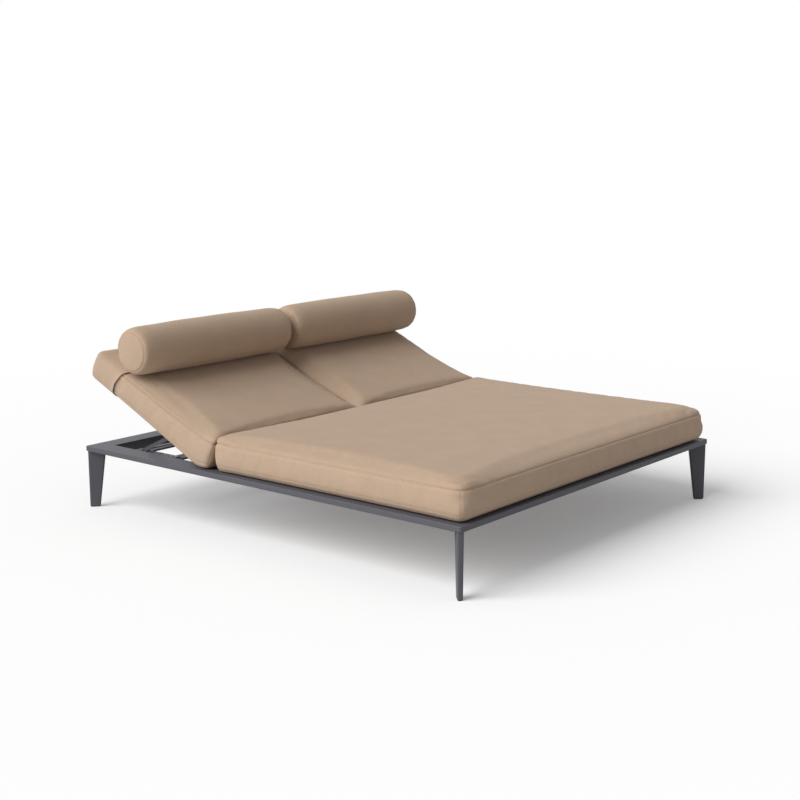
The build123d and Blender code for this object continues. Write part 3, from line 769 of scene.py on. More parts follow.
# How deep the lower welt seams and the corner seams are, as shares of the upper one
LOWER_SEAM, CORNER_SEAM = 0.25, 0.16
# The gathers beside a seam: their height, how far they reach, and the pitches of
# the small folds, of the wider ones and of the calm stretches between them
GATHER, GATHER_REACH = 0.0017, 0.022
GATHER_PITCHES = (0.021, 0.047, 0.31)


def seat_box():
    """The seat cushion's uncut box: inside its solid at three sides, which the crown
    and the bulge fill, and a little past it at the rear."""
    low = (SEAT_LOW.x + SEAT_SIDE_INSET, SEAT_LOW.y + SEAT_FOOT_INSET, RAIL_TOP + SEAT_UNDER)
    high = (SEAT_HIGH.x - SEAT_SIDE_INSET, SEAT_HIGH.y + SEAT_REAR_PAST, RAIL_TOP + SEAT_TOP)
    return low, high


def cushion_grid(low, high, step, seams):
    """A cushion's grid, close-set at the corner seams and at the welt seams."""
    xs = grid_lines(low[0], high[0], step, (low[0], high[0]), CORNER_LIP)
    ys = grid_lines(low[1], high[1], step, (low[1], high[1]), CORNER_LIP)
    return box_grid(xs, ys, grid_lines(low[2], high[2], step, seams))


def pinned(points, low, high, seams):
    """Pins for the simulation: the welt seams, the corner seams and the underside hold still."""
    x_end = np.isclose(points[:, 0], low[0], atol=1e-6) | np.isclose(points[:, 0], high[0], atol=1e-6)
    y_end = np.isclose(points[:, 1], low[1], atol=1e-6) | np.isclose(points[:, 1], high[1], atol=1e-6)
    side = x_end | y_end
    pins = np.zeros(len(points))
    for seam in seams:
        pins[side & np.isclose(points[:, 2], seam, atol=1e-6)] = 1.0
    pins[x_end & y_end] = 1.0
    pins[np.isclose(points[:, 2], low[2], atol=1e-6)] = 1.0
    return pins


def sew(obj, low, high, seams, depth, seed):
    """Sink the seams into a finished cover and gather the cloth beside the welt seams."""
    place = box_places(obj)
    t, on_side = round_the_sides(place, low, high)
    points, out = coords(obj), normals(obj)
    move = np.zeros(len(points))
    small, wide, calm_pitch = GATHER_PITCHES
    for number, seam in enumerate(seams):
        # Points off the sides count as a metre away, where a seam does nothing
        far = np.where(on_side, np.abs(place[:, 2] - seam), 1.0)
        share = 1.0 if seam == max(seams) else LOWER_SEAM
        move += share * seam_dent(far, depth)
        gather = 0.6 * ripple(t, small, seed + number) + 0.4 * ripple(t, wide, seed + 7 + number)
        calm = 0.55 + 0.45 * ripple(t, calm_pitch, seed + 13 + number)
        move += share * GATHER * gather * calm * np.exp(-far / GATHER_REACH) * np.where(far < 0.5, 1, 0)
    width, depth_y = high[0] - low[0], high[1] - low[1]
    corners = np.array([0, width, width + depth_y, 2 * width + depth_y, 2 * (width + depth_y)])
    near = np.min(np.abs(t[:, None] - corners[None, :]), axis=1)
    between = on_side & (place[:, 2] > min(seams)) & (place[:, 2] < max(seams))
    move += np.where(between, seam_dent(near, depth * CORNER_SEAM), 0)
    set_coords(obj, points + out * move[:, None])


def seam_stitches(obj, low, high, seams, name):
    """Stitches on the upper lip of each welt seam."""
    loops = []
    for seam in seams:
        line, out = row_line(obj, low, high, seam + SEAM_LIP)
        loops.append((line + out * THREAD_LIFT, out))
    return stitched(name, loops)


class LOUNGER_OT_seat_cushion(bpy.types.Operator):
    """Make the full-width seat cushion with its welt seams"""
    bl_idname = "lounger.seat_cushion"
    bl_label = "Seat Cushion"

    def execute(self, context):
        look = context.scene.lounger_covers
        low, high = seat_box()
        seams = (low[2] + look.seam_drop, high[2] - look.seam_drop)
        points, quads, cloth = cushion_grid(low, high, SEAT_STEP, seams)
        form = topped(points, low, high, rounded(points, low, high, SEAT_RADII),
                      rounded(points, low, high, SEAT_TOP_RADII))
        rear = rounded(points, low, high, SEAT_REAR_RADII)
        form = mixed(form, rear, 1 - (high[1] - points[:, 1]) / SEAT_REAR_REACH)
        form = stuffed(form, low, high, look.seat_crown, SEAT_BULGE, SIDE_PULL)
        over = np.clip((form[:, 2] - low[2]) / (high[2] - low[2]), 0, 1)
        form[:, 2] += SEAT_UNEVEN * unevenness(form, SEAT_UNEVEN_PITCH, 11) * over
        obj = mesh_object("seat_cushion_cover", form, quads, cloth, points)
        simulate(obj, pinned(points, low, high, seams), SEAT_CAP)
        subdivided(obj)
        sew(obj, low, high, seams, look.seam_depth, 21)
        after = coords(obj)
        after[:, 2] = np.maximum(after[:, 2], RAIL_TOP + RAIL_CLEARANCE)
        set_coords(obj, after)
        set_once(obj, cover_cloth())
        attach(obj, "frame")
        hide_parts("seat_cushion")
        thread = seam_stitches(obj, low, high, seams, "seat_cushion_stitches")
        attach(thread, "frame")
        return {"FINISHED"}


# A back cushion is drawn straight, with its run along Y and its height along
# Z, and then bent to the two lines below, as shares of the run
BACK_RUN = 0.785
BACK_RISE = 0.15
BACK_STEP = 0.0145
# Edge radii along X, Y and Z: round the underside, the top, and the top's two ends
BACK_RADII = (0.030, 0.020, 0.022)
BACK_TOP_RADII = (0.068, 0.016, 0.034)
BACK_FOOT_END_RADII = (0.034, 0.010, 0.016)
BACK_HEAD_END_RADII = (0.034, 0.022, 0.018)
# The length of each end over which its own radii hold
BACK_END_REACH = 0.09
# Where the foot end's underside and top edge lie, as (y, z)
FOOT_LOW = (0.2725, 0.2712)
FOOT_HIGH = (0.2215, 0.4032)
# The head end's run up the slope, and the top's and the underside's heights over it
HEAD_S = 0.703
TOP_HEIGHTS = (
    (0.0, 0.1825), (0.06, 0.1775), (0.16, 0.169), (0.24, 0.161), (0.34, 0.160), (0.44, 0.158),
    (0.506, 0.155), (0.60, 0.149), (HEAD_S, 0.144))
UNDER_HEIGHT = 0.0146
# The height of the straightened underside over the rails, where it bends up to the slope
BEND_CLEARANCE = 0.0012
# How far a back cushion's uncut box lies off the middle plane, and inside its solid at the side
BACK_INNER, BACK_SIDE_INSET = 0.0045, 0.001
# The deck slats' start on the slope, and the least height of a cover over the slope there
DECK_START, DECK_HEIGHT = 0.02, 0.0142
# The crown's shape along the run: the foot end slopes, and the bolster rests near the head end
CROWN_RUNS = (0, 0.06, 0.25, 0.55, 0.70, 0.95, 1)
CROWN_SHARES = (0.4, 0.65, 1, 0.9, 0.25, 0.2, 0)
# The halves keep clear of each other, and leave room for the hoods' cloth, which starts
# over a short length before the hem
MIDDLE_GAP, HOOD_ROOM, HOOD_ROOM_REACH = 0.0012, 0.0048, 0.03
# The share of a line's length that gives its direction at an end
END_STEP = 0.02


def along_line(points, shares):
    """Points at given shares of a line's length, its corners cut round four times."""
    line = np.array(points, float)
    for _ in range(4):
        cut = [line[0]]
        for a, b in zip(line, line[1:]):
            cut += [a * 0.75 + b * 0.25, a * 0.25 + b * 0.75]
        cut.append(line[-1])
        line = np.array(cut)
    run = np.concatenate([[0], np.cumsum(np.linalg.norm(np.diff(line, axis=0), axis=1))])
    run /= run[-1]
    return np.stack([np.interp(shares, run, line[:, 0]), np.interp(shares, run, line[:, 1])], axis=1)


def under_line():
    """The underside from the foot end to the head end: flat on the rails, then up the deck."""
    bend_s = (RAIL_TOP + BEND_CLEARANCE - HINGE_Z - UNDER_HEIGHT * SLOPE_COS) / SLOPE_SIN
    bend = from_slope(bend_s, UNDER_HEIGHT)
    points = [FOOT_LOW, ((FOOT_LOW[0] + bend[0]) / 2, FOOT_LOW[1]), (bend[0], FOOT_LOW[1])]
    return points + [from_slope(s, UNDER_HEIGHT) for s in (bend_s + 0.06, 0.30, 0.5, HEAD_S)]


def upper_line():
    """The top edge from the foot end to the head end."""
    return [FOOT_HIGH] + [from_slope(s, h) for s, h in TOP_HEIGHTS]


def bent(points):
    """Bend a straight back cushion to its lines. Past their ends it runs straight on."""
    share = points[:, 1] / BACK_RUN
    rise = points[:, 2:3] / BACK_RISE
    clipped = np.clip(share, 0, 1)
    past = (share - clipped)[:, None]
    edges = []
    for line in (under_line(), upper_line()):
        start, second, last_but_one, end = along_line(line, [0.0, END_STEP, 1 - END_STEP, 1.0])
        step = np.where(past < 0, second - start, end - last_but_one) / END_STEP
        edges.append(along_line(line, clipped) + step * past)
    under, upper = edges
    return np.column_stack([points[:, 0], under * (1 - rise) + upper * rise])


def back_box(side):
    """A back cushion's uncut box before it is bent."""
    box_low, box_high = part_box("back_cushion_left" if side < 0 else "back_cushion_right")
    outer = max(abs(box_low.x), abs(box_high.x)) - BACK_SIDE_INSET
    x = sorted((side * BACK_INNER, side * outer))
    return (x[0], 0.0, 0.0), (x[1], BACK_RUN, BACK_RISE)


def back_form(points, low, high, crown, seed):
    """The stuffed form of a back cushion, still straight. Its crown is pressed flat
    near the head end, under the bolster."""
    top = rounded(points, low, high, BACK_TOP_RADII)
    ends = rounded(points, low, high, BACK_FOOT_END_RADII, BACK_HEAD_END_RADII)
    to_end = np.minimum(points[:, 1], BACK_RUN - points[:, 1])
    top = mixed(top, ends, 1 - to_end / BACK_END_REACH)
    form = topped(points, low, high, rounded(points, low, high, BACK_RADII), top)
    form = stuffed(form, low, high, 0.0, BACK_BULGE, SIDE_PULL)
    middle, half = (low[0] + high[0]) / 2, (high[0] - low[0]) / 2
    u, v = (points[:, 0] - middle) / half, points[:, 1] / BACK_RUN
    over = np.clip(form[:, 2] / BACK_RISE, 0, 1)
    run_shape = np.interp(v, CROWN_RUNS, CROWN_SHARES)
    form[:, 2] += crown * (1 - np.abs(u) ** CROWN_POWER) * run_shape * over
    # Where the bolster presses, past 0.62 of the run, the foam lies flatter
    uneven = BACK_UNEVEN * unevenness(form, BACK_UNEVEN_PITCH, seed)
    form[:, 2] += uneven * over * np.where(v < 0.62, 1, 0.2)
    return form


class LOUNGER_OT_back_cushions(bpy.types.Operator):
    """Make the two back cushions, bent from the frame up onto the backrests"""
    bl_idname = "lounger.back_cushions"
    bl_label = "Back Cushions"

    def execute(self, context):
        look = context.scene.lounger_covers
        for name, side in SIDES:
            low, high = back_box(side)
            seams = (look.seam_drop, BACK_RISE - look.seam_drop)
            points, quads, cloth = cushion_grid(low, high, BACK_STEP, seams)
            form = bent(back_form(points, low, high, look.back_crown, 41 + side))
            obj = mesh_object(f"back_cushion_cover_{name}", form, quads, cloth, points)
            simulate(obj, pinned(points, low, high, seams), BACK_CAP)
            subdivided(obj)
            sew(obj, low, high, seams, look.seam_depth, 61 + side)
            hem = hood_hem()
            gap = np.interp(box_places(obj)[:, 1], (hem - HOOD_ROOM_REACH, hem),
                            (MIDDLE_GAP, HOOD_ROOM))
            set_coords(obj, apart(clear_below(coords(obj)), side, gap))
            set_once(obj, cover_cloth())
            thread = seam_stitches(obj, low, high, seams, f"back_cushion_stitches_{name}")
            for piece in (obj, thread):
                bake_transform(piece)
            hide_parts(f"back_cushion_{name}")
        return {"FINISHED"}


def apart(points, side, gap):
    """Keep a piece on its own side of the middle plane, by a gap."""
    points[:, 0] = side * np.maximum(side * points[:, 0], gap)
    return points


def clear_below(points):
    """Keep a back cushion over the rails and over the deck slats."""
    points[:, 2] = np.maximum(points[:, 2], RAIL_TOP + RAIL_CLEARANCE)
    s, h = to_slope(points[:, 1], points[:, 2])
    return off_slope(points, np.where(s > DECK_START, np.maximum(h, DECK_HEIGHT) - h, 0))


# Hoods


# The hem's line from the underside to the top: share of the height, run up the slope
HOOD_EDGE = ((0.0, 0.534), (0.10, 0.546), (0.5, 0.541), (0.8, 0.526), (1.0, 0.512))
HOOD_STEP, HOOD_END_STEP = 0.012, 0.010
# Rows of points at the hem, from its edge to past its fold
HEM_ROWS = (0.0, 0.004, 0.011, 0.0135)
# The distance from the last of them to the hood's first even row
AFTER_HEM = 0.009
# How far a hood lies over its cushion, and how much farther its folded hem does
HOOD_GAP, HEM_FOLD = 0.0012, 0.0010
# The distances from the underside and from the inner side over which the fold comes in
FOLD_FROM_UNDER, FOLD_FROM_INNER = 0.03, 0.02
# How far the hem stands off at its very edge, and over what length it settles
HEM_LIP, HEM_LIP_REACH = 0.0044, 0.030


def hood_hem():
    """The place of the hood's hem that lies nearest the foot end, as a run along the cushion."""
    return min(slope_to_run(s) for _, s in HOOD_EDGE)


def hood_start(rise):
    """Where the hood's hem lies at each height, as a run along the cushion."""
    heights = [h for h, _ in HOOD_EDGE]
    runs = [slope_to_run(s) for _, s in HOOD_EDGE]
    return np.interp(rise, heights, runs)


def slope_to_run(s):
    """The run along the straight cushion for a run up the slope."""
    shares = np.linspace(0, 1, 201)
    under = along_line(under_line(), shares)
    slope, _ = to_slope(under[:, 0], under[:, 1])
    return float(np.interp(s, slope, shares)) * BACK_RUN


class LOUNGER_OT_hoods(bpy.types.Operator):
    """Make the cloth hoods over the back cushions' head ends"""
    bl_idname = "lounger.hoods"
    bl_label = "Hoods"

    def execute(self, context):
        look = context.scene.lounger_covers
        for name, side in SIDES:
            cushion = bpy.data.objects[f"back_cushion_cover_{name}"]
            low, high = back_box(side)
            xs = grid_lines(low[0], high[0], HOOD_STEP, (low[0], high[0]), CORNER_LIP)
            hem = hood_hem()
            ys = [hem + row for row in HEM_ROWS]
            ys += grid_lines(ys[-1] + AFTER_HEM, high[1], HOOD_END_STEP, (high[1],), CORNER_LIP)
            zs = grid_lines(low[2], high[2], HOOD_END_STEP)
            points, quads, cloth = box_grid(xs, ys, zs, open_front=True)
            # The rows follow the hem's own line, and even out towards the head end
            start = hood_start(points[:, 2] / BACK_RISE)
            moved = points.copy()
            length = high[1] - hem - HEM_ROWS[-1]
            near = np.clip((points[:, 1] - hem - HEM_ROWS[-1]) / length, 0, 1)
            moved[:, 1] += (start - hem) * (1 - near) ** 1.5
            form = bent(back_form(moved, low, high, look.back_crown, 41 + side))
            obj = mesh_object(f"hood_cover_{name}", form, quads, cloth, points)
            # There is no room for the fold under the cushion or between the halves
            inner = min(abs(low[0]), abs(high[0]))
            free = (np.clip(points[:, 2] / FOLD_FROM_UNDER, 0, 1)
                    * np.clip((np.abs(points[:, 0]) - inner) / FOLD_FROM_INNER, 0, 1))
            self.over(obj, cushion, points[:, 1] - hem, free)
            set_coords(obj, apart(coords(obj), side, HOOD_ROOM - HOOD_GAP))
            set_once(obj, cover_cloth())
            wall = obj.modifiers.new("Lined cloth", "SOLIDIFY")
            wall.thickness, wall.offset = look.hood_cloth, 1.0
            subdivided(obj)
            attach(obj, f"bolster_{name}")
            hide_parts(f"bolster_hood_{name}")
        return {"FINISHED"}

    def over(self, obj, cushion, from_hem, free):
        """Lay the hood over the cushion, a hair clear of it, with a folded hem where it has room."""
        tree = surface_tree(cushion)
        points = coords(obj)
        fold = HEM_FOLD * (1 - np.clip((from_hem - HEM_ROWS[2]) / (HEM_ROWS[3] - HEM_ROWS[2]), 0, 1))
        fold = (fold + HEM_LIP * np.clip(1 - from_hem / HEM_LIP_REACH, 0, 1) ** 2) * free
        for index, point in enumerate(points):
            near, normal, _, _ = tree.find_nearest(Vector(point))
            away = (Vector(point) - near).dot(normal)
            points[index] = point + np.array(normal) * max(HOOD_GAP + fold[index] - away, 0.0)
        set_coords(obj, points)


# Bolsters


# A bolster's centre: its run up the slope and its height over it
BOLSTER_S, BOLSTER_H = 0.507, 0.2568
# The end face's seam: its place on the grid and its share of the radius
RING_SHARE, RING_RADIUS = 0.62, 0.80
# How far the roll's rounded end reaches in, and how far the end face swells out
SHOULDER, FACE_SWELL = 0.056, 0.010
# How far the end seam lies in from the bolster's end
END_INSET = 0.0105
# The skin starts this much inside the filled radius, and is fatter by this much at its middle
SKIN_INSET, MIDDLE_SWELL = 0.006, 0.0042
BOLSTER_CELLS, BOLSTER_STEP = 24, 0.013
# The ends' places: past the solid at the outer end, and off the middle plane at the
# inner one, by side. The left one lies a little outwards
BOLSTER_PAST, BOLSTER_INNER, LEFT_SHIFT = 0.004, {-1: 0.003, 1: 0.007}, 0.010
# The height over the slope at which a bolster lies on its hood, and its soft edge there
BOLSTER_REST, REST_EDGE = 0.1600, 0.004
# The end seams: their depth, the puff beside them, and the gathers' height, reach and pitch
RING_DEPTH, RING_PUFF = 0.0024, 0.0010
RING_GATHER, RING_REACH, RING_PITCH = 0.0009, 0.02, 0.019
# The roll's unevenness: its height, its pitch, and how far its folds wander round the roll
ROLL_UNEVEN, ROLL_PITCH, ROLL_WANDER = 0.0010, 0.14, 0.06
# The stitches' ring lies inside the seam by this share of the radius, with this many points
STITCH_INSET, RING_POINTS = 0.05, 120


def bolster_profile(share, radius):
    """Radius and depth from the bolster's end, at shares from the end face's middle
    to the start of the roll."""
    disc, edge = RING_RADIUS * radius, (1 - RING_RADIUS) * radius
    turn = np.clip((share - RING_SHARE) / (1 - RING_SHARE), 0, 1) * math.pi / 2
    r = np.where(share < RING_SHARE, share / RING_SHARE * disc, disc + edge * np.sin(turn))
    face = FACE_SWELL * (1 - np.clip(share / RING_SHARE, 0, 1) ** 2)
    depth = np.where(share < RING_SHARE, -face, SHOULDER * (1 - np.cos(turn)))
    return r, depth + END_INSET


def bolster_form(x0, x1, radius):
    """A bolster skin without poles: a square grid rounded to a roll with two end faces."""
    marks = np.linspace(-1, 1, BOLSTER_CELLS + 1)
    lengths = grid_lines(x0, x1, BOLSTER_STEP)
    points, quads, cloth = box_grid(lengths, list(marks), list(marks))
    a, b = points[:, 1], points[:, 2]
    y, z = a * np.sqrt(1 - b * b / 2), b * np.sqrt(1 - a * a / 2)
    share = np.hypot(y, z)
    out = np.zeros_like(points)
    on_end = np.isclose(points[:, 0], x0) | np.isclose(points[:, 0], x1)
    r, depth = bolster_profile(np.where(on_end, share, 1.0), radius)
    angle = np.arctan2(z, y)
    inner0, inner1 = x0 + SHOULDER + END_INSET, x1 - SHOULDER - END_INSET
    body = inner0 + (points[:, 0] - x0) / (x1 - x0) * (inner1 - inner0)
    out[:, 0] = np.where(np.isclose(points[:, 0], x0), x0 + depth,
                         np.where(np.isclose(points[:, 0], x1), x1 - depth, body))
    # A filled roll is a little fatter at its middle
    u = (out[:, 0] - (x0 + x1) / 2) / ((x1 - x0) / 2)
    r = r + MIDDLE_SWELL * (1 - u * u)
    out[:, 1], out[:, 2] = np.cos(angle) * r, np.sin(angle) * r
    where = np.column_stack([points[:, 0], share * np.where(on_end, 1, 0), angle])
    # The end faces lie flat on the cloth, and the roll is unrolled on it
    cloth = []
    for quad in quads:
        ends = all(on_end[v] for v in quad)
        base = angle[quad[0]]
        for v in quad:
            if ends:
                cloth.append((out[v, 1], out[v, 2]))
            else:
                turn = angle[v] + (math.tau if base - angle[v] > math.pi else
                                   -math.tau if angle[v] - base > math.pi else 0)
                cloth.append((out[v, 0], turn * radius))
    return out, quads, cloth, where


class LOUNGER_OT_bolsters(bpy.types.Operator):
    """Make the two round bolsters"""
    bl_idname = "lounger.bolsters"
    bl_label = "Bolsters"

    def execute(self, context):
        look = context.scene.lounger_covers
        centre = from_slope(BOLSTER_S, BOLSTER_H)
        for name, side in SIDES:
            box_low, box_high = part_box(f"bolster_{name}")
            outer = max(abs(box_low.x), abs(box_high.x)) + BOLSTER_PAST
            ends = sorted((side * BOLSTER_INNER[side], side * outer))
            if side < 0:
                ends = [end - LEFT_SHIFT for end in ends]
            form, quads, cloth, where = bolster_form(*ends, look.bolster_radius - SKIN_INSET)
            form[:, 1] += centre[0]
            form[:, 2] += centre[1]
            obj = mesh_object(f"bolster_cover_{name}", form, quads, cloth, where)
            ring = np.isclose(where[:, 1], RING_SHARE, atol=0.03)
            simulate(obj, np.where(ring, 1.0, 0.0), BOLSTER_CAP)
            subdivided(obj)
            self.finish_cover(obj, centre, look.bolster_radius, 81 + side)
            set_coords(obj, apart(coords(obj), side, MIDDLE_GAP))
            set_once(obj, cover_cloth())
            body = f"bolster_{name}"
            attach(obj, body)
            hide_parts(body)
            thread = self.ring_stitches(obj, centre, look.bolster_radius, name)
            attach(thread, body)
        return {"FINISHED"}

    def finish_cover(self, obj, centre, radius, seed):
        """Sink the end seams, make the roll a little uneven, and press it flat on the hood."""
        points, out = coords(obj), normals(obj)
        y, z = points[:, 1] - centre[0], points[:, 2] - centre[1]
        r = np.hypot(y, z)
        ends = np.abs(out[:, 0])
        far = np.where(ends > 0.25, np.abs(r - RING_RADIUS * radius), 1.0)
        angle = np.arctan2(z, y)
        gather = RING_GATHER * ripple(angle * radius, RING_PITCH, seed)
        move = seam_dent(far, RING_DEPTH, RING_PUFF) + gather * np.exp(-far / RING_REACH) * (far < 0.5)
        roll = np.where(far > 0.5, 1, 0)
        along = points[:, 0] + ROLL_WANDER * np.sin(2 * angle + seed)
        move += ROLL_UNEVEN * roll * ripple(along, ROLL_PITCH, seed + 3)
        points = points + out * move[:, None]
        _, h = to_slope(points[:, 1], points[:, 2])
        under = BOLSTER_REST + REST_EDGE - h
        lift = np.where(under > 0, under * np.clip(under / (2 * REST_EDGE), 0, 1), 0)
        lift = np.where(h + lift < BOLSTER_REST, BOLSTER_REST - h, lift)
        set_coords(obj, off_slope(points, lift))

    def ring_stitches(self, obj, centre, radius, name):
        """Stitches just inside both end seams."""
        tree = surface_tree(obj)
        ring = radius * (RING_RADIUS - STITCH_INSET)
        loops = []
        for sign in (-1, 1):
            line, outs = [], []
            for number in range(RING_POINTS):
                turn = math.tau * number / RING_POINTS
                # From two metres off the middle plane, straight in at the end face
                place = Vector((sign * 2, centre[0] + math.cos(turn) * ring,
                                centre[1] + math.sin(turn) * ring))
                hit, normal, _, _ = tree.ray_cast(place, Vector((-sign, 0, 0)))
                line.append(hit + normal * THREAD_LIFT)
                outs.append(normal)
            loops.append((line, outs))
        return stitched(f"bolster_stitches_{name}", loops)


# Screws


# The button head's outline from its rim to its socket, as (radius, height)
HEAD_RINGS = ((0.0040, -0.0006), (0.0040, 0.0004), (0.0036, 0.0013), (0.0028, 0.0019),
              (0.0019, 0.0021))
HEAD_SIDES = 12
# The hexagon socket: the radius of its corners, and the heights of its mouth and its floor
SOCKET_RADIUS, SOCKET_HEIGHTS = 0.0014, (0.0021, 0.0007)
# How far the slats' screws lie in from a slat's ends, and from a head slat's sides
SLAT_END, HEAD_SLAT_SIDE = 0.010, 0.015
# The racks' screws, from the rack's low end: past the lowest notch, clear of the prop's foot rod
RACK_SCREWS = (0.012, 0.040)


def screw_head():
    """A low button head with a hexagon socket, standing on the origin."""
    # The socket's rings have their even points on the hexagon's corners
    across_flats = SOCKET_RADIUS * math.cos(math.pi / 6)
    rings = [([radius] * 2, height) for radius, height in HEAD_RINGS]
    rings += [((SOCKET_RADIUS, across_flats), height) for height in SOCKET_HEIGHTS]
    mesh = bmesh.new()
    loops = []
    for radii, height in rings:
        loop = []
        for k in range(HEAD_SIDES):
            turn, radius = math.tau * k / HEAD_SIDES, radii[k % 2]
            loop.append(mesh.verts.new((radius * math.cos(turn), radius * math.sin(turn), height)))
        loops.append(loop)
    for a, b in zip(loops, loops[1:]):
        for k in range(HEAD_SIDES):
            after = (k + 1) % HEAD_SIDES
            mesh.faces.new((a[k], a[after], b[after], b[k]))
    mesh.faces.new(loops[-1])
    mesh.faces.new(loops[0][::-1])
    data = bpy.data.meshes.new("screw_head_pattern")
    mesh.to_mesh(data)
    mesh.free()
    return linked("screw_head_pattern", data)


def screws(name, body, places):
    """Screw heads at (point, outward direction) places, on one body."""
    look = bpy.context.scene.lounger_finish
    tree = bpy.data.node_groups.get("Screws") or screw_tree()
    mesh = bpy.data.meshes.new(name + "_places")
    mesh.from_pydata([tuple(p) for p, _ in places], [], [])
    point_vectors(mesh, "face_out", [tuple(o) for _, o in places])
    point_vectors(mesh, "slot_along", [tuple(o.orthogonal().normalized()) for _, o in places])
    source = linked(name + "_places", mesh)
    head = screw_head()
    metal = bpy.data.materials["Stainless steel turned"]
    obj = grown(source, tree, {"Head": head, "Size": look.screw_size, "Metal": metal}, name)
    # A head's facets stay flat, as its few faces would shade like a bubble otherwise
    obj.data.polygons.foreach_set("use_smooth", [False] * len(obj.data.polygons))
    bpy.data.objects.remove(head)
    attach(obj, body)


class LOUNGER_OT_screws(bpy.types.Operator):
    """Put screws through the slats and the racks"""
    bl_idname = "lounger.screws"
    bl_label = "Screws"

    def execute(self, context):
        up = Vector((0, 0, 1))
        places = []
        for number in (1, 2):
            low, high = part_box(f"head_slat_{number}")
            for x in (low.x + SLAT_END, high.x - SLAT_END):
                for y in (low.y + HEAD_SLAT_SIDE, high.y - HEAD_SLAT_SIDE):
                    places.append((Vector((x, y, high.z)), up))
        for number in range(1, 7):
            low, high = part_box(f"seat_slat_{number}")
            for x in (low.x + SLAT_END, high.x - SLAT_END):
                places.append((Vector((x, (low.y + high.y) / 2, high.z)), up))
        for name, _ in SIDES:
            for place in ("outer", "inner"):
                low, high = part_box(f"rack_{name}_{place}")
                for along in RACK_SCREWS:
                    places.append((Vector(((low.x + high.x) / 2, low.y + along, high.z)), up))
        screws("frame_screws", "frame", places)
        return {"FINISHED"}


# Finishes and studio


FLOOR_HALF = 60.0
# Distances from the lounger's middle over which the camera sees the floor turn white, and the share of that
# painted white glow at the nearer one, where it lightens the lounger's shadow
WHITE_FROM, WHITE_TO, WHITE_NEAR = 1.8, 5.4, 0.2
# The camera fitted to the photo: the floor point it looks at, its distance from there, and
# its turn, rise and roll in degrees
LOOKS_AT, CAMERA_DISTANCE = (1.8328, 1.4984, 0.0), 8.6104
CAMERA_TURN, CAMERA_RISE, CAMERA_ROLL = -50.6247, 10.9358, -0.1618


class LOUNGER_OT_finishes(bpy.types.Operator):
    """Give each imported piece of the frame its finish"""
    bl_idname = "lounger.finishes"
    bl_label = "Finishes"

    def execute(self, context):
        by_slot = {"frame_coat": powder_coat(), "stainless": turned_steel(),
                   "key_aluminium": mill_aluminium(), "bush_plastic": moulded_nylon()}
        by_slot["glide_plastic"] = by_slot["bush_plastic"]
        slots = {row["node"]: row["material_slot"] for row in frame["record"]["subparts"]}
        for node, obj in frame["nodes"].items():
            set_once(obj, by_slot.get(slots[node]) or cover_cloth())
        return {"FINISHED"}


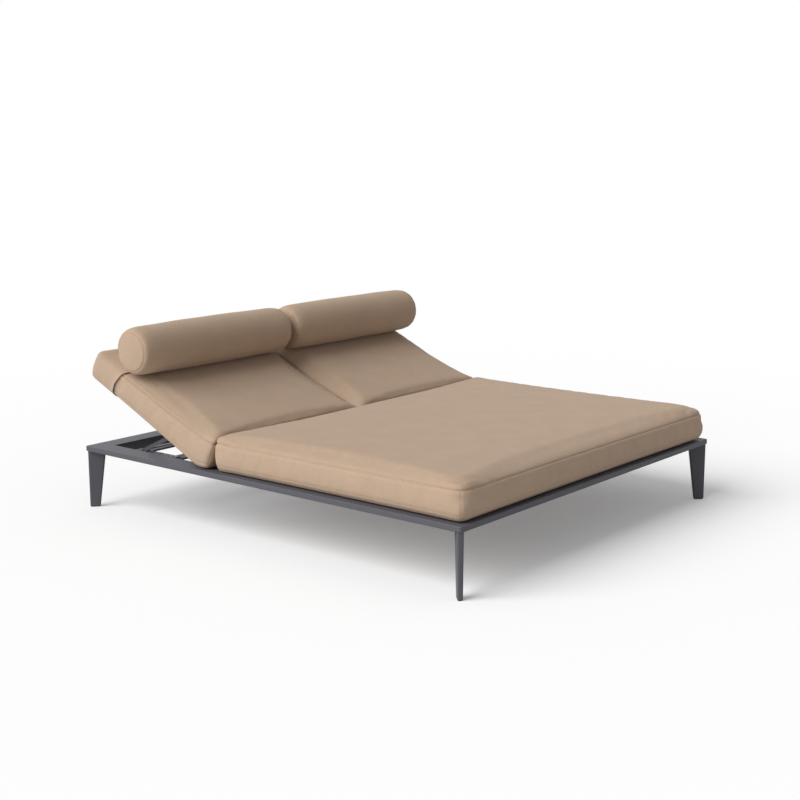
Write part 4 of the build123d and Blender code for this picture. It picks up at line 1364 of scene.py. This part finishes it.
class LOUNGER_OT_studio(bpy.types.Operator):
    """Set up the pale floor, the soft lights and the camera"""
    bl_idname = "lounger.studio"
    bl_label = "Studio"

    def execute(self, context):
        look = context.scene.lounger_studio
        self.floor(look)
        self.lights(look)
        self.camera(look)
        context.scene.view_settings.view_transform = "Standard"
        return {"FINISHED"}

    def floor(self, look):
        """A wide floor in matt white paint, rolled on: no gloss, and hardly a change of tone."""
        mesh = bpy.data.meshes.new("studio_floor")
        corners = ((-1, -1), (1, -1), (1, 1), (-1, 1))
        mesh.from_pydata([(x * FLOOR_HALF, y * FLOOR_HALF, 0) for x, y in corners], [], [(0, 1, 2, 3)])
        obj = linked("studio_floor", mesh)
        material, tree, shader = new_material("Matt studio paint")
        place = add_node(tree, "ShaderNodeTexCoord")
        mottle = add_node(tree, "ShaderNodeTexNoise",
                          inputs={"Vector": place.outputs["Object"], "Scale": 3.0})
        base = linear(look.floor_colour)
        darker = tuple(c * 0.995 for c in base[:3]) + (1.0,)
        tone = add_node(tree, "ShaderNodeMix", {"data_type": "RGBA"},
                        {0: mottle.outputs["Fac"], 6: base, 7: darker})
        # Less light goes back up from the floor than the camera sees in it
        path = add_node(tree, "ShaderNodeLightPath")
        less = add_node(tree, "ShaderNodeMath", {"operation": "MULTIPLY"},
                        {0: path.outputs["Is Diffuse Ray"], 1: 1 - look.floor_bounce})
        sent = add_node(tree, "ShaderNodeMix", {"data_type": "RGBA"},
                        {0: less.outputs[0], 6: tone.outputs[2], 7: (0.0, 0.0, 0.0, 1.0)})
        set_inputs(tree, shader, {
            "Base Color": sent.outputs[2], "Roughness": 0.95, "Specular IOR Level": 0.0})
        # The camera sees the floor run out to white round the shadow: a painted white glow, seen only by the
        # camera. Near the lounger a part of it lightens the floor and its shadow, and far out it is all white
        flat = add_node(tree, "ShaderNodeVectorMath", {"operation": "LENGTH"},
                        {0: place.outputs["Object"]})
        away = add_node(tree, "ShaderNodeMapRange", {"interpolation_type": "SMOOTHSTEP"},
                        {"Value": flat.outputs["Value"], "From Min": WHITE_FROM, "From Max": WHITE_TO,
                         "To Min": WHITE_NEAR, "To Max": 1.0})
        share = add_node(tree, "ShaderNodeMath", {"operation": "MULTIPLY"},
                         {0: away.outputs[0], 1: path.outputs["Is Camera Ray"]})
        # Painted light: a white glow that lightens the floor's shadow for the camera
        white = add_node(tree, "ShaderNodeEmission",
                         inputs={"Color": (1.0, 1.0, 1.0, 1.0), "Strength": 1.0})
        seen = add_node(tree, "ShaderNodeMixShader",
                        inputs={0: share.outputs[0], 1: shader.outputs[0], 2: white.outputs[0]})
        set_inputs(tree, tree.nodes["Material Output"], {"Surface": seen.outputs[0]})
        set_once(obj, material)

    def lights(self, look):
        """One wide soft key light, and an even fill from the world."""
        lamp = bpy.data.lights.new("key_light", "SUN")
        lamp.energy, lamp.angle = look.key_strength, look.key_spread
        obj = linked("key_light", lamp)
        obj.rotation_mode = "QUATERNION"
        obj.rotation_quaternion = Vector(look.key_direction).to_track_quat("Z", "Y")
        world = bpy.data.worlds.new("studio_world")
        bpy.context.scene.world = world
        world.use_nodes = True
        tree = world.node_tree
        # Seen straight, in a gloss or through glass, the world is white; it lights less than that
        path = add_node(tree, "ShaderNodeLightPath")
        seen = add_node(tree, "ShaderNodeMath", {"operation": "MAXIMUM"},
                        {0: path.outputs["Is Camera Ray"], 1: path.outputs["Is Glossy Ray"]})
        seen = add_node(tree, "ShaderNodeMath", {"operation": "MAXIMUM"},
                        {0: seen.outputs[0], 1: path.outputs["Is Transmission Ray"]})
        level = add_node(tree, "ShaderNodeMapRange",
                         inputs={"Value": seen.outputs[0], "To Min": look.fill_strength, "To Max": 1.0})
        set_inputs(tree, tree.nodes["Background"],
                   {"Color": (1.0, 1.0, 1.0, 1.0), "Strength": level.outputs[0]})

    def camera(self, look):
        """The camera of the photograph, with its small roll."""
        turn, rise, roll = (math.radians(a) for a in (CAMERA_TURN, CAMERA_RISE, CAMERA_ROLL))
        back = Vector((math.sin(turn) * math.cos(rise), -math.cos(turn) * math.cos(rise),
                       math.sin(rise)))
        right = (-back).cross(Vector((0, 0, 1))).normalized()
        up = right.cross(-back)
        across = right * math.cos(roll) + up * math.sin(roll)
        upright = up * math.cos(roll) - right * math.sin(roll)
        data = bpy.data.cameras.new("photo_camera")
        data.lens, data.sensor_width = look.lens, 36.0
        data.clip_start, data.clip_end = 0.1, 300.0
        obj = linked("photo_camera", data)
        matrix = Matrix((across, upright, back)).transposed().to_4x4()
        matrix.translation = Vector(LOOKS_AT) + back * CAMERA_DISTANCE
        obj.matrix_world = matrix
        bpy.context.scene.camera = obj


class LOUNGER_PT_panel(bpy.types.Panel):
    """Lists the lounger's pieces"""
    bl_label = "Double Chaise Lounger"
    bl_idname = "LOUNGER_PT_panel"
    bl_space_type = "VIEW_3D"
    bl_region_type = "UI"
    bl_category = "Lounger"

    def draw(self, context):
        for group in ("lounger_covers", "lounger_finish", "lounger_studio"):
            box = self.layout.box()
            settings = getattr(context.scene, group)
            for name in settings.bl_rna.properties.keys():
                if name not in ("rna_type", "name"):
                    box.prop(settings, name)
        for operator in OPERATORS:
            self.layout.operator(operator.bl_idname)


GROUPS = {"lounger_covers": LoungerCovers, "lounger_finish": LoungerFinish,
          "lounger_studio": LoungerStudio}
OPERATORS = (LOUNGER_OT_finishes, LOUNGER_OT_seat_cushion, LOUNGER_OT_back_cushions, LOUNGER_OT_hoods,
             LOUNGER_OT_bolsters, LOUNGER_OT_screws, LOUNGER_OT_studio)


def register():
    """Register the settings, the operators and the panel."""
    for name, group in GROUPS.items():
        bpy.utils.register_class(group)
        setattr(bpy.types.Scene, name, PointerProperty(type=group))
    for operator in OPERATORS:
        bpy.utils.register_class(operator)
    bpy.utils.register_class(LOUNGER_PT_panel)


def unregister():
    """Take them out again."""
    bpy.utils.unregister_class(LOUNGER_PT_panel)
    for operator in reversed(OPERATORS):
        bpy.utils.unregister_class(operator)
    for name, group in GROUPS.items():
        delattr(bpy.types.Scene, name)
        bpy.utils.unregister_class(group)


def main():
    """Make the whole scene in order."""
    register()
    for operator in OPERATORS:
        group, name = operator.bl_idname.split(".")
        getattr(getattr(bpy.ops, group), name)()


if __name__ == "__main__":
    main()
